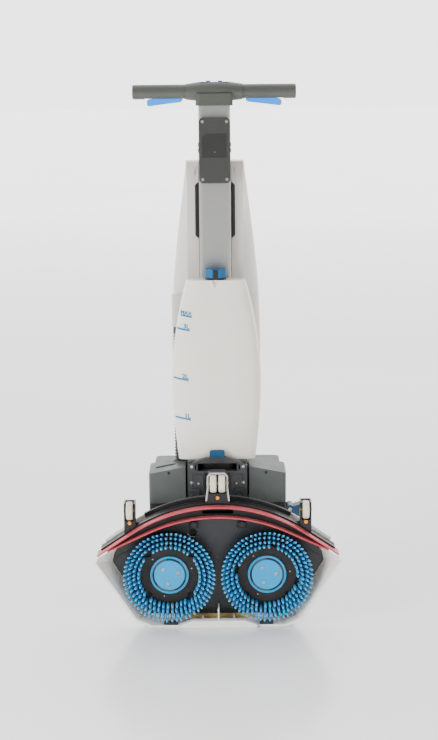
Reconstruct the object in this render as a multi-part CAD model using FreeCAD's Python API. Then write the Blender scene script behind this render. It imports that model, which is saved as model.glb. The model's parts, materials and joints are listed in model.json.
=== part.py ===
import FreeCAD, Part

import math
import os

# Compact upright floor scrubber in its parked pose: the brush deck is folded up against the column.
#
# Row frame, millimetres: +X is the operator's right, +Y points away from the operator, +Z is up.
# The origin is on the floor, under the middle of the machine's bounding box.

V = FreeCAD.Vector

# ---------------------------------------------------------------- overall sizes
HEIGHT = 1180.0          # floor to the top of the handle hub
REAR_Y = 190.0           # rearmost point of the recovery tank
FLOOR_SIDE_Y = -190.0    # lips of the squeegee, the foremost point while parked
GAP = 0.3                # clearance between pieces of different bodies that lie close
FIT = 0.05               # radial clearance of a running shaft

# ---------------------------------------------------------------- column and handle
COLUMN_HALF_X = 35.0
COLUMN_FRONT_Y = -30.0
COLUMN_BACK_Y = 20.0
COLUMN_WALL = 3.0
COLUMN_CORNER = 9.0
COLUMN_Y = (COLUMN_FRONT_Y + COLUMN_BACK_Y) / 2
GRIP_R = 15.8
GRIP_WALL = 2.6
HANDLE_HALF_X = 178.0
HANDLE_Z = HEIGHT - 23.5             # axis of the grips
HUB_HALF_X = 62.0
HUB_DEPTH = 27.0
COLLAR_HALF_X = 40.5
COLLAR_HEIGHT = 20.0
COLLAR_MARGIN_Y = 6.0
COLLAR_Z = HANDLE_Z - 30.0           # underside of the collar that grips the column
SEAM_STEP = 8.0                      # the shells part lower across the hub than along the grips
PANEL_HALF_X = 30.0                  # display panel on top of the hub
PANEL_HALF_Y = 13.0
BUTTON_R = 5.0
BUTTON_TRAVEL = 1.2
BUTTON_PITCH = 26.0
TRIGGER_INNER_X = 71.0
TRIGGER_OUTER_X = 147.0
TRIGGER_HALF_Y = 5.5
TRIGGER_DROP = 15.0                  # how far the free end hangs below the grip
TRIGGER_ANGLE = 7.0
TRIGGER_PIN_R = 2.0

# ---------------------------------------------------------------- control box
BOX_HALF_X = 34.0
BOX_BOTTOM_Z = 960.0
BOX_TOP_Z = 1101.0
BOX_FRONT_Y = -49.0
BOX_WALL = 2.5
BOX_SCREW_X = 26.3
BOX_SCREW_INSET = 8.5
SCREW_HEAD_R = 3.4
LABEL_DEPTH = 0.8

# ---------------------------------------------------------------- solution tank, in front of the column
TANK_BOTTOM_Z = 352.0
TANK_TOP_Z = 753.0
TANK_BACK_Y = -38.0
TANK_WALL = 2.5
# share of the tank's height, half width, front face
TANK_SECTIONS = [
    (0.00, 85.0, -73.0), (0.12, 90.0, -92.0), (0.29, 95.5, -104.0), (0.46, 97.5, -109.0),
    (0.62, 93.5, -108.0), (0.79, 84.0, -103.0), (0.90, 75.0, -96.5), (0.97, 67.5, -91.0),
    (1.00, 63.5, -88.5),
]
CAP_Y = -64.0
CAP_R = 24.5
CAP_HEIGHT = 23.0
NECK_BORE_R = 15.0
NECK_R = 19.5
NECK_HEIGHT = 15.0
CAP_TRAVEL = 60.0

# ---------------------------------------------------------------- recovery tank, behind the column
SEAT_Z = 322.0                       # shelf that the recovery tank stands on
COVER_SEAM_Z = 713.0
RECOVERY_TOP_Z = 1006.0
RECOVERY_FRONT_Y = 26.0
COVER_FRONT_Y = -10.0
RECOVERY_WALL = 3.0
FLANGE_HALF_X = 62.0                 # outer edge of the cover's front faces
GROOVE_HALF_X = COLUMN_HALF_X + 1.0
SLOT_HALF_X = 44.0                   # dark openings beside the column
SLOT_BOTTOM_Z = 836.0
SLOT_TOP_Z = 963.0
# height, half width, rear face
TANK_LEVELS = [
    (SEAT_Z, 85.0, 136.0), (380.0, 91.0, 158.0), (440.0, 96.0, 174.0), (500.0, 99.5, 184.0),
    (570.0, 101.0, REAR_Y),
    (640.0, 100.0, 187.5), (COVER_SEAM_Z, 97.0, 179.0),
]
COVER_LEVELS = [
    (COVER_SEAM_Z, 97.0, 179.0), (775.0, 92.0, 166.0), (835.0, 85.5, 151.0), (895.0, 78.0, 134.0),
    (950.0, 70.5, 116.0), (RECOVERY_TOP_Z, 64.0, 97.0),
]

# ---------------------------------------------------------------- inlet duct and hose
HOSE_X = -80.0
HOSE_Y = -15.0
HOSE_R = 15.5
HOSE_ROOT_R = 13.0
HOSE_BORE_R = 11.5
HOSE_PITCH = 7.2
DUCT_BOTTOM_Z = 644.0
DUCT_TOP_Z = 721.0
DUCT_PORT_X = -53.0                  # where the duct enters the tank's front

# ---------------------------------------------------------------- base housing
BASE_HALF_X = 152.0
BASE_FRONT_Y = -90.0
BASE_BACK_Y = 100.0
BASE_BOTTOM_Z = 230.0
BAY_FLOOR_Z = 258.0
BAY_BACK_Y = 14.0
BASE_EDGE_Z = 324.0                  # top of the side boxes at their outer edge
BASE_CROWN_Z = 341.0                 # the same beside the centre panel
CORE_HALF_X = 66.0
CORE_TOP_Z = TANK_BOTTOM_Z - GAP
CORE_WALL = 4.0
COLUMN_FOOT_Z = BAY_FLOOR_Z + CORE_WALL
SHELF_Z = SEAT_Z - GAP
PANEL_FRONT_Y = -95.0
PANEL_TOP_Z = 362.0
PANEL_THICK = 14.0
PANEL_ARCH = 19.0                    # how far the panel's top falls away at its sides
PANEL_SCREW_DROP = 21.0
CORE_FRONT_Y = PANEL_FRONT_Y + PANEL_THICK
GRIP_SLOT_HALF_X = 50.0
POCKET_HALF_X = 28.5
LATCH_HALF_X = 17.0
LATCH_TRAVEL = 4.0
LATCH_FRONT_Y = PANEL_FRONT_Y + 2.0
LATCH_THICK = 5.0
LATCH_FOOT_Z = PANEL_TOP_Z - 7.0
BATTERY_INNER_X = 70.0
EYE_R = 3.2                          # round hole in each side box
EYE_X = 107.5

# ---------------------------------------------------------------- joint between column and deck
FOLD_Y = 30.0
FOLD_Z = 200.0
FOLD_PIN_R = 5.0
LUG_INNER_X = 28.0
LUG_THICK = 8.0
LUG_R = 15.0
LEAN_Y = -25.0                       # vertical axis of the swivel while parked
SPIGOT_R = 18.0
SPIGOT_BOTTOM_Z = 84.0
SOCKET_R = 26.0
SOCKET_TOP_Z = 150.0

# ---------------------------------------------------------------- brush deck
BRUSH_X = 107.0
BRUSH_Z = 113.0
BRUSH_TIP_R = 105.4
BRUSH_DISC_R = 92.0
BRUSH_CORE_R = 63.7
HUB_R = 42.0
HUB_DISC_R = 33.3
TIP_Y = -185.0
DISC_FRONT_Y = -150.0
DISC_BACK_Y = -142.0
SPINDLE_R = 7.0
PLATE_FRONT_Y = -134.0
PLATE_BACK_Y = -129.0
COVER_BACK_Y = -124.0
MOTOR_BACK_Y = -30.0
GEARBOX_R = 45.0
MOTOR_R = 36.0
DOME_R = 56.0
DOME_WALL = 3.0
SKIRT_RIM_Y = -178.0
SKIRT_WALL = 4.0
LIP_HALF_X = 84.0
LIP_HEIGHT = 16.0
# right half of the skirt: the flared rim, then the root where it leaves the back wall
RIM_POINTS = [(150.0, 0.0), (184.0, 15.0), (226.0, 78.0), (270.0, 147.0), (258.0, 166.0)]
ROOT_POINTS = [(138.0, 2.0), (166.0, 14.0), (204.0, 76.0), (240.0, 140.0), (236.0, 160.0)]
PLATE_POINTS = [(150.0, 17.0), (200.0, 82.0), (233.0, 138.0), (229.0, 156.0)]
RIB_X = 34.5
PAD_X = 105.0
WHEEL_TREAD_X = 95.0
TRANSPORT_R = 38.0
TRANSPORT_WIDTH = 24.0
TRANSPORT_Y = 28.0
AXLE_R = 6.0

# ---------------------------------------------------------------- squeegee
REAR_ARC_R = 338.0                   # centreline of the outer blade
REAR_ARC_Z = -66.7
REAR_ARC_HALF_X = 187.0
REAR_END_X = 262.0
FRONT_ARC_R = 360.0                  # centreline of the inner blade
FRONT_ARC_Z = -111.0
FRONT_ARC_HALF_X = 150.0
FRONT_END_X = 240.0
BLADE_THICK = 3.6
BLADE_ROOT_Y = -150.0
FRAME_FRONT_Y = -172.0
FRAME_BACK_Y = -135.0
FRAME_STEP_Y = BLADE_ROOT_Y          # the blades stand on this face of the frame
FRAME_RIM = 6.0                      # how far the frame shows past each blade
FRAME_INNER_END_X = 225.0
COVER_EDGE = 11.0                    # how far the deck cover shows past the outer blade
FLOAT_TRAVEL = 4.0
TONGUE_THICK = 5.0
WHEEL_R = 20.0
WHEEL_WIDTH = 14.0
SIDE_WHEEL_X = 191.5
SIDE_WHEEL_Z = 261.0
CENTRE_WHEEL_X = 9.4
CENTRE_WHEEL_Z = 321.0
WHEEL_Y = FLOOR_SIDE_Y + 3.0 + WHEEL_R
WHEEL_ROOM = 2.0                     # between a wheel and its bracket
WHEEL_ROOM_BACK_Y = WHEEL_Y + WHEEL_R + 3 * WHEEL_ROOM
BRACKET_BACK_Y = WHEEL_ROOM_BACK_Y + 5.0
BRACKET_CHEEK = 3.2
SIDE_BRACKET_HALF_X = WHEEL_WIDTH / 2 + WHEEL_ROOM + BRACKET_CHEEK
CENTRE_BRACKET_HALF_X = CENTRE_WHEEL_X + WHEEL_WIDTH / 2 + WHEEL_ROOM + BRACKET_CHEEK
WHEEL_PIN_R = 3.0

# ---------------------------------------------------------------- suction hose across the joint
SUCTION_X = -56.0
SUCTION_R = 13.0
SUCTION_BORE_R = 10.5
SUCTION_Z = 200.0
SUCTION_TOP_Z = BASE_BOTTOM_Z
SUCTION_BEND = 24.0
CLIP_Y = -25.0
CLIP_HALF_Y = 5.0

KNOB_SHANK_R = 3.0
KNOB_X = 53.0
KNOB_Z = 223.5

# ---------------------------------------------------------------- release pedal
PEDAL_PIVOT_X = 162.0
PEDAL_Y = -40.0
PEDAL_Z = 232.0
PEDAL_HALF_Y = 15.0
PEDAL_PIN_R = 4.0


# ---------------------------------------------------------------- small builders
def block(x0, x1, y0, y1, z0, z1):
    """Box between two corners."""
    return Part.makeBox(x1 - x0, y1 - y0, z1 - z0, V(x0, y0, z0))


def rod(radius, start, end):
    """Round bar from start to end."""
    axis = end - start
    return Part.makeCylinder(radius, axis.Length, start, axis)


def tube(outer, inner, start, end):
    """Round bar with a through bore."""
    return rod(outer, start, end).cut(rod(inner, start, end))


def rod_x(radius, x0, x1, y, z):
    """Round bar along X."""
    return rod(radius, V(x0, y, z), V(x1, y, z))


def rod_y(radius, y0, y1, x, z):
    """Round bar along Y."""
    return rod(radius, V(x, y0, z), V(x, y1, z))


def rod_z(radius, z0, z1, x, y):
    """Round bar along Z."""
    return rod(radius, V(x, y, z0), V(x, y, z1))


def soften(shape, radius, chosen):
    """Fillets the edges that the test picks."""
    edges = [e for e in shape.Edges if chosen(e)]
    return shape.makeFillet(radius, edges) if edges else shape


def runs_along(edge, axis):
    """True where a straight edge is parallel to the axis."""
    if edge.Curve.TypeId != "Part::GeomLine":
        return False
    return abs(edge.tangentAt(edge.FirstParameter).dot(axis)) > 0.999


def rounded_block(x0, x1, y0, y1, z0, z1, radius, axis):
    """Box whose edges along one axis are rounded."""
    return soften(block(x0, x1, y0, y1, z0, z1), radius, lambda e: runs_along(e, axis))


def mirrored(shape):
    """The same shape on the other side of the machine."""
    return shape.mirror(V(0, 0, 0), V(1, 0, 0))


def prism_y(points, y0, y1):
    """Outline in X and Z, extruded along Y."""
    corners = [V(x, y0, z) for x, z in points]
    face = Part.Face(Part.makePolygon(corners + corners[:1]))
    return face.extrude(V(0, y1 - y0, 0))


def prism_x(points, x0, x1):
    """Outline in Y and Z, extruded along X."""
    corners = [V(x0, y, z) for y, z in points]
    face = Part.Face(Part.makePolygon(corners + corners[:1]))
    return face.extrude(V(x1 - x0, 0, 0))


def closed_curve(points):
    """Wire of one smooth closed curve through the points."""
    curve = Part.BSplineCurve()
    curve.interpolate(points, PeriodicFlag=True)
    return Part.Wire([curve.toShape()])


def oval(half_x, front, back, z, power=3.2, steps=24):
    """Level rounded-rectangle wire between two Y faces."""
    middle, half_y = (front + back) / 2, (back - front) / 2
    points = []
    for i in range(steps):
        a = 2 * math.pi * i / steps
        c, s = math.cos(a), math.sin(a)
        x = half_x * math.copysign(abs(c) ** (2 / power), c)
        y = half_y * math.copysign(abs(s) ** (2 / power), s)
        points.append(V(x, middle + y, z))
    return closed_curve(points)


def mirror_outline(half):
    """Full outline from its right half, which runs from the bottom to the top."""
    return half + [(-x, z) for x, z in reversed(half)]


def blade_path(radius, centre_z, half_x, end_x, offset=0.0):
    """Wire in X and Z: an arc over the middle and a straight tangent run to each end."""
    slope = half_x / math.sqrt(radius ** 2 - half_x ** 2)
    shift_x = offset * half_x / radius
    shift_z = offset * math.sqrt(1 - (half_x / radius) ** 2)
    near = (half_x + shift_x, centre_z + math.sqrt(radius ** 2 - half_x ** 2) + shift_z)
    far = (end_x, near[1] - slope * (end_x - near[0]))
    top = (0.0, centre_z + radius + offset)
    return near, far, top


def band_edges(path, y):
    """Edges of one blade path from the left end to the right end."""
    near, far, top = path
    left, right = V(-near[0], y, near[1]), V(near[0], y, near[1])
    arc = Part.Arc(left, V(top[0], y, top[1]), right).toShape()
    first = Part.LineSegment(V(-far[0], y, far[1]), left).toShape()
    last = Part.LineSegment(right, V(far[0], y, far[1])).toShape()
    return [first, arc, last]


def band(lower, upper, y0, y1):
    """Solid between two blade paths, extruded along Y."""
    low, high = band_edges(lower, y0), band_edges(upper, y0)
    ends = []
    for side in (-1, 1):
        a = V(side * lower[1][0], y0, lower[1][1])
        b = V(side * upper[1][0], y0, upper[1][1])
        ends.append(Part.LineSegment(a, b).toShape())
    wire = Part.Wire(Part.__sortEdges__(low + high + ends))
    return Part.Face(wire).extrude(V(0, y1 - y0, 0))


def rear_path(offset=0.0, end_x=REAR_END_X):
    """Path of the outer blade, moved outwards by offset."""
    return blade_path(REAR_ARC_R, REAR_ARC_Z, REAR_ARC_HALF_X, end_x, offset)


def front_path(offset=0.0, end_x=FRONT_END_X):
    """Path of the inner blade, moved outwards by offset."""
    return blade_path(FRONT_ARC_R, FRONT_ARC_Z, FRONT_ARC_HALF_X, end_x, offset)


def squeegee_side(offset, y0, y1):
    """Everything above the inner blade's path moved by offset, to cut the deck back from the squeegee."""
    reach = 400.0
    near, far, top = front_path(offset, reach)
    edges = band_edges((near, far, top), y0)
    sky = 600.0
    right, left = V(far[0], y0, far[1]), V(-far[0], y0, far[1])
    upper_right, upper_left = V(far[0], y0, sky), V(-far[0], y0, sky)
    for a, b in ((right, upper_right), (upper_right, upper_left), (upper_left, left)):
        edges.append(Part.LineSegment(a, b).toShape())
    return Part.Face(Part.Wire(Part.__sortEdges__(edges))).extrude(V(0, y1 - y0, 0))


# ---------------------------------------------------------------- upright: column, handle, control box
def make_column():
    """Aluminium extrusion with a shallow guide groove down each side."""
    def profile(inset):
        return rounded_block(
            -COLUMN_HALF_X + inset, COLUMN_HALF_X - inset,
            COLUMN_FRONT_Y + inset, COLUMN_BACK_Y - inset,
            COLUMN_FOOT_Z, COLLAR_Z + COLLAR_HEIGHT - 4.0,
            COLUMN_CORNER - inset, V(0, 0, 1))
    shell = profile(0).cut(profile(COLUMN_WALL))
    groove_depth, groove_half = 1.2, 4.0
    for side in (-1, 1):
        x0 = side * (COLUMN_HALF_X - groove_depth)
        x1 = side * (COLUMN_HALF_X + 1.0)
        shell = shell.cut(block(
            min(x0, x1), max(x0, x1), COLUMN_Y - groove_half, COLUMN_Y + groove_half,
            COLUMN_FOOT_Z - 1.0, HEIGHT))
    return shell


def ellipse_wire(x, half_y, half_z, z):
    """Upright ellipse across the handle at one x; half_y is the larger half."""
    centre = V(x, COLUMN_Y, z)
    curve = Part.Ellipse(centre + V(0, half_y, 0), centre + V(0, 0, half_z), centre)
    return Part.Wire([curve.toShape()])


def handle_body():
    """Grips, hub and collar as one form."""
    grips = []
    for side in (-1, 1):
        inner, outer = side * (HUB_HALF_X - 3.0), side * HANDLE_HALF_X
        grip = rod_x(GRIP_R, min(inner, outer), max(inner, outer), COLUMN_Y, HANDLE_Z)
        grips.append(soften(grip, 3.0, lambda e: abs(e.CenterOfMass.x) > HANDLE_HALF_X - 1.0))
    crown = HEIGHT - HANDLE_Z
    rise = 1.5
    step = 1.0
    stations = [(-HUB_HALF_X, GRIP_R + 2 * step, GRIP_R + step, 0.0), (-36.0, 23.0, 0.86 * crown, 0.5),
                (0.0, HUB_DEPTH, crown - rise, rise), (36.0, 23.0, 0.86 * crown, 0.5),
                (HUB_HALF_X, GRIP_R + 2 * step, GRIP_R + step, 0.0)]
    hub = Part.makeLoft([ellipse_wire(x, y, z, HANDLE_Z + up) for x, y, z, up in stations], True, False)
    collar = rounded_block(
        -COLLAR_HALF_X, COLLAR_HALF_X, COLUMN_FRONT_Y - COLLAR_MARGIN_Y, COLUMN_BACK_Y + COLLAR_MARGIN_Y,
        COLLAR_Z, HANDLE_Z - 4.0, 10.0, V(0, 0, 1))
    return hub.fuse(grips + [collar])


def make_handle():
    """Upper and lower shell, parted along the stepped seam."""
    body = handle_body()
    hollow = rod_x(GRIP_R - GRIP_WALL, -HANDLE_HALF_X + 5.0, HANDLE_HALF_X - 5.0, COLUMN_Y, HANDLE_Z)
    socket = block(-COLUMN_HALF_X - FIT, COLUMN_HALF_X + FIT, COLUMN_FRONT_Y - FIT, COLUMN_BACK_Y + FIT,
                   COLLAR_Z - 1.0, COLLAR_Z + COLLAR_HEIGHT)
    body = body.cut(hollow).cut(socket)
    for side in (-1, 1):
        x0, x1 = side * (TRIGGER_INNER_X - 5.0), side * (TRIGGER_OUTER_X + 4.0)
        body = body.cut(block(
            min(x0, x1), max(x0, x1), COLUMN_Y - TRIGGER_HALF_Y - 1.0, COLUMN_Y + TRIGGER_HALF_Y + 1.0,
            HANDLE_Z - GRIP_R - 2.0, HANDLE_Z - 0.5))
        body = body.cut(rod_y(TRIGGER_PIN_R + FIT, COLUMN_Y - 11.0, COLUMN_Y + 11.0,
                              side * TRIGGER_INNER_X, trigger_pivot_z()))
    top = panel_top_z()
    body = body.cut(block(-PANEL_HALF_X, PANEL_HALF_X, COLUMN_Y - PANEL_HALF_Y, COLUMN_Y + PANEL_HALF_Y,
                          top - 3.0, HEIGHT + 5.0))
    for x in button_places():
        body = body.cut(rod_z(BUTTON_R + 0.5, HANDLE_Z, top, x, COLUMN_Y))
    seam = [(-HANDLE_HALF_X - 5, HANDLE_Z), (-39.0, HANDLE_Z), (-31.0, HANDLE_Z - SEAM_STEP),
            (31.0, HANDLE_Z - SEAM_STEP), (39.0, HANDLE_Z), (HANDLE_HALF_X + 5, HANDLE_Z),
            (HANDLE_HALF_X + 5, HEIGHT + 10), (-HANDLE_HALF_X - 5, HEIGHT + 10)]
    above = prism_y(seam, COLUMN_Y - 60, COLUMN_Y + 60)
    return body.common(above), body.cut(above)


def panel_top_z():
    """Face of the display panel."""
    return HEIGHT - 2.5


def button_places():
    """X of each button."""
    return (-BUTTON_PITCH / 2, BUTTON_PITCH / 2)


def make_display_panel():
    """Flat panel let into the hub, with a hole for each button."""
    top = panel_top_z()
    margin = 0.2
    panel = rounded_block(-PANEL_HALF_X + margin, PANEL_HALF_X - margin, COLUMN_Y - PANEL_HALF_Y + margin,
                          COLUMN_Y + PANEL_HALF_Y - margin, top - 3.0, top, 4.0, V(0, 0, 1))
    for x in button_places():
        panel = panel.cut(rod_z(BUTTON_R + GAP, top - 5.0, top + 1.0, x, COLUMN_Y))
    return panel


def make_button(x):
    """Round push button with a crowned face."""
    top = panel_top_z() + 2.5
    button = rod_z(BUTTON_R, top - 12.0, top, x, COLUMN_Y)
    return soften(button, 0.8, lambda e: e.BoundBox.ZMin > top - 0.1)


def trigger_pivot_z():
    """Height of the trigger pins, inside the grip."""
    return HANDLE_Z - GRIP_R + 5.5


def make_trigger():
    """Right-hand squeeze trigger: a wedge that hangs lower at its free end."""
    pivot = trigger_pivot_z()
    under = HANDLE_Z - GRIP_R
    outline = [(TRIGGER_INNER_X - 3.5, pivot - 3.0), (TRIGGER_INNER_X - 3.5, pivot + 3.0),
               (TRIGGER_INNER_X + 4.0, pivot + 3.0), (TRIGGER_OUTER_X - 5.0, under + 0.5),
               (TRIGGER_OUTER_X, under - 4.0), (TRIGGER_OUTER_X - 1.0, under - TRIGGER_DROP + 2.0),
               (TRIGGER_OUTER_X - 5.0, under - TRIGGER_DROP), (TRIGGER_INNER_X + 2.0, under - 6.5),
               (TRIGGER_INNER_X - 1.5, under - 3.5)]
    lever = prism_y(outline, COLUMN_Y - TRIGGER_HALF_Y, COLUMN_Y + TRIGGER_HALF_Y)
    return lever.cut(rod_y(TRIGGER_PIN_R + FIT, COLUMN_Y - 20, COLUMN_Y + 20, TRIGGER_INNER_X, pivot))


def make_control_box():
    """Screwed cover over the electronics, with a recessed label field and side clips."""
    cover = rounded_block(-BOX_HALF_X, BOX_HALF_X, BOX_FRONT_Y, COLUMN_FRONT_Y, BOX_BOTTOM_Z, BOX_TOP_Z,
                          9.0, V(0, 1, 0))
    cover = soften(cover, 2.0, lambda e: e.BoundBox.YMax < BOX_FRONT_Y + 0.1)
    cover = cover.cut(rounded_block(
        -BOX_HALF_X + BOX_WALL, BOX_HALF_X - BOX_WALL, BOX_FRONT_Y + BOX_WALL, COLUMN_FRONT_Y + 1.0,
        BOX_BOTTOM_Z + BOX_WALL, BOX_TOP_Z - BOX_WALL, 7.0, V(0, 1, 0)))
    label = [(-27.0, BOX_BOTTOM_Z + 56.0), (26.0, BOX_BOTTOM_Z + 56.0), (26.0, BOX_BOTTOM_Z + 107.0),
             (-20.0, BOX_BOTTOM_Z + 107.0), (-27.0, BOX_BOTTOM_Z + 100.0)]
    cover = cover.cut(prism_y(label, BOX_FRONT_Y - 1.0, BOX_FRONT_Y + LABEL_DEPTH))
    for x, z in box_screw_places():
        post = rod_y(SCREW_HEAD_R + 2.0, BOX_FRONT_Y + BOX_WALL, COLUMN_FRONT_Y, x, z)
        cover = cover.fuse(post)
        cover = cover.cut(rod_y(SCREW_HEAD_R + 0.3, BOX_FRONT_Y - 1.0, BOX_FRONT_Y + 2.0, x, z))
        cover = cover.cut(rod_y(1.5, BOX_FRONT_Y, COLUMN_FRONT_Y + 1.0, x, z))
    for side in (-1, 1):
        for z in (1031.0, 1043.0):
            x0, x1 = side * (BOX_HALF_X - 0.5), side * (BOX_HALF_X + 2.0)
            cover = cover.fuse(block(min(x0, x1), max(x0, x1), -38.0, COLUMN_FRONT_Y, z - 4.5, z + 4.5))
    return cover


def box_screw_places():
    """Centres of the four cover screws."""
    return [(sx * BOX_SCREW_X, z) for z in (BOX_BOTTOM_Z + BOX_SCREW_INSET, BOX_TOP_Z - BOX_SCREW_INSET)
            for sx in (-1, 1)]


def make_control_board():
    """Circuit board with its larger components."""
    board = block(-23.0, 23.0, -40.0, -38.4, BOX_BOTTOM_Z + 16.0, BOX_TOP_Z - 16.0)
    parts = [block(-16, 4, -44.0, -40.0, BOX_BOTTOM_Z + 30, BOX_BOTTOM_Z + 55),
             rod_y(5.0, -44.5, -40.0, 12.0, BOX_BOTTOM_Z + 70),
             rod_y(5.0, -44.5, -40.0, 12.0, BOX_BOTTOM_Z + 84)]
    return board.fuse(parts)


# ---------------------------------------------------------------- solution tank
def tank_body(inset=0.0):
    """Bottle form of the solution tank, shrunk by inset for the hollow."""
    height = TANK_TOP_Z - TANK_BOTTOM_Z
    wires = []
    for share, half_x, front in TANK_SECTIONS:
        z = TANK_BOTTOM_Z + share * height
        z = min(max(z, TANK_BOTTOM_Z + inset), TANK_TOP_Z - inset)
        wires.append(oval(half_x - inset, front + inset, TANK_BACK_Y - inset, z))
    return Part.makeLoft(wires, True, False)


def tank_crease(margin):
    """Pointed dent in the tank's shoulder under the cap, grown by margin for the inner face."""
    top = V(0, CAP_Y - 25.5, TANK_TOP_Z + 1.0)
    return Part.makeCone(9.0 + margin, 0.5 + margin, 24.0 + margin, top, V(0, -0.25, -1))


def make_solution_tank():
    """Blow-moulded tank with a filler neck, hollow and open at the neck."""
    neck = rod_z(NECK_R, TANK_TOP_Z - 6.0, TANK_TOP_Z + NECK_HEIGHT, 0, CAP_Y)
    body = tank_body().cut(tank_crease(0.0)).fuse(neck)
    bore = rod_z(NECK_BORE_R, TANK_TOP_Z - 20.0, TANK_TOP_Z + NECK_HEIGHT + 1.0, 0, CAP_Y)
    cavity = tank_body(TANK_WALL).cut(tank_crease(TANK_WALL)).fuse(bore)
    return body.cut(cavity)


def make_cap():
    """Lobed screw cap with a moulded finger ring."""
    base = TANK_TOP_Z + 5.0
    top = TANK_TOP_Z + CAP_HEIGHT
    corners = []
    lobes = 8
    for i in range(lobes):
        a = 2 * math.pi * (i + 0.5) / lobes
        corners.append(V(CAP_R * math.cos(a), CAP_Y + CAP_R * math.sin(a), base))
    cap = Part.Face(Part.makePolygon(corners + corners[:1])).extrude(V(0, 0, top - base))
    cap = soften(cap, 6.0, lambda e: runs_along(e, V(0, 0, 1)))
    cap = soften(cap, 2.0, lambda e: e.BoundBox.ZMin > top - 0.1)
    cap = cap.cut(rod_z(NECK_R + GAP, base - 1.0, TANK_TOP_Z + NECK_HEIGHT + GAP, 0, CAP_Y))
    slot = block(-5.3, 5.3, CAP_Y - CAP_R - 2.0, CAP_Y - CAP_R + 3.6, base - 1.0, top + 1.0)
    return cap.cut(slot)


def make_cap_band():
    """Black seal ring under the cap, with the strap that runs up its front."""
    base = TANK_TOP_Z + 0.3
    ring = tube(CAP_R - 1.0, NECK_R + GAP, V(0, CAP_Y, base), V(0, CAP_Y, TANK_TOP_Z + 5.0))
    front = CAP_Y - CAP_R + 0.4
    strap = block(-5.0, 5.0, front, front + 2.6, base, TANK_TOP_Z + CAP_HEIGHT)
    return ring.fuse(strap)


def make_tank_latch():
    """Push tab that holds the solution tank's foot."""
    return rounded_block(-LATCH_HALF_X, LATCH_HALF_X, LATCH_FRONT_Y, LATCH_FRONT_Y + LATCH_THICK,
                         LATCH_FOOT_Z, PANEL_TOP_Z + 15.0, 5.0, V(0, 1, 0))


# ---------------------------------------------------------------- recovery tank
def wedge_wire(half_x, front, back, z, inset=0.0):
    """Level outline with a flat front, flaring flanks and a rounded back."""
    half_x, front, back = half_x - inset, front + inset, back - inset
    corner = min(FLANGE_HALF_X, half_x - 1.5) - inset
    depth = back - front
    right = [V(corner, front, z), V(0.86 * half_x, front + 0.14 * depth, z),
             V(half_x, front + 0.50 * depth, z),
             V(0.86 * half_x, front + 0.82 * depth, z), V(0.48 * half_x, front + 0.97 * depth, z)]
    round_back = right + [V(0, back, z)] + [V(-p.x, p.y, z) for p in reversed(right)]
    curve = Part.BSplineCurve()
    curve.interpolate(round_back)
    front_edge = Part.LineSegment(round_back[-1], round_back[0]).toShape()
    return Part.Wire([curve.toShape(), front_edge])


def wedge_loft(levels, front, inset=0.0, trim=(0.0, 0.0)):
    """Smooth skin over level outlines, with its ends moved in by trim."""
    wires = []
    for i, (z, half_x, back) in enumerate(levels):
        z = z + trim[0] if i == 0 else z - trim[1] if i == len(levels) - 1 else z
        wires.append(wedge_wire(half_x, front, back, z, inset))
    return Part.makeLoft(wires, True, False)


def make_recovery_tank():
    """Lower tank, open at the top under the cover."""
    outer = wedge_loft(TANK_LEVELS, RECOVERY_FRONT_Y)
    inner = wedge_loft(TANK_LEVELS, RECOVERY_FRONT_Y, RECOVERY_WALL, (RECOVERY_WALL, 0.0))
    mouth = block(-70.0, 70.0, RECOVERY_FRONT_Y + 12.0, 150.0, COVER_SEAM_Z - 4.0, COVER_SEAM_Z + 1.0)
    port = rod_y(6.0, RECOVERY_FRONT_Y - 4.0, RECOVERY_FRONT_Y + 8.0, DUCT_PORT_X, DUCT_TOP_Z - 30.0)
    return outer.cut(inner).cut(mouth).cut(port)


def make_recovery_cover():
    """Tall cover that closes the recovery tank and wraps the column, with the carrying recess at its top."""
    seam = 0.4
    outer = wedge_loft(COVER_LEVELS, COVER_FRONT_Y, 0.0, (seam, 0.0))
    inner = wedge_loft(COVER_LEVELS, COVER_FRONT_Y, RECOVERY_WALL, (-1.0, RECOVERY_WALL))
    shell = outer.cut(inner)
    wall = block(-GROOVE_HALF_X - RECOVERY_WALL, GROOVE_HALF_X + RECOVERY_WALL, COVER_FRONT_Y,
                 RECOVERY_FRONT_Y,
                 COVER_SEAM_Z + seam, RECOVERY_TOP_Z)
    groove = block(-GROOVE_HALF_X, GROOVE_HALF_X, COVER_FRONT_Y - 1.0, RECOVERY_FRONT_Y - RECOVERY_WALL,
                   COVER_SEAM_Z - 5.0, RECOVERY_TOP_Z + 5.0)
    shell = shell.fuse(wall.common(outer)).cut(groove)
    slot = [(-SLOT_HALF_X, SLOT_BOTTOM_Z + 8), (-GROOVE_HALF_X + 1, SLOT_BOTTOM_Z),
            (GROOVE_HALF_X - 1, SLOT_BOTTOM_Z),
            (SLOT_HALF_X, SLOT_BOTTOM_Z + 8), (SLOT_HALF_X, SLOT_TOP_Z - 8), (GROOVE_HALF_X - 1, SLOT_TOP_Z),
            (-GROOVE_HALF_X + 1, SLOT_TOP_Z), (-SLOT_HALF_X, SLOT_TOP_Z - 8)]
    shell = shell.cut(prism_y(slot, COVER_FRONT_Y - 1.0, RECOVERY_FRONT_Y - RECOVERY_WALL - 6.0))
    rim = handle_arch(53.0, 24.0, 16.0).cut(handle_arch(44.5, 26.0, 8.0))
    return shell.fuse(rim.common(block(-80, 80, COVER_FRONT_Y - 2.5, COVER_FRONT_Y + 1.0, 900,
                                       RECOVERY_TOP_Z)))


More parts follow.
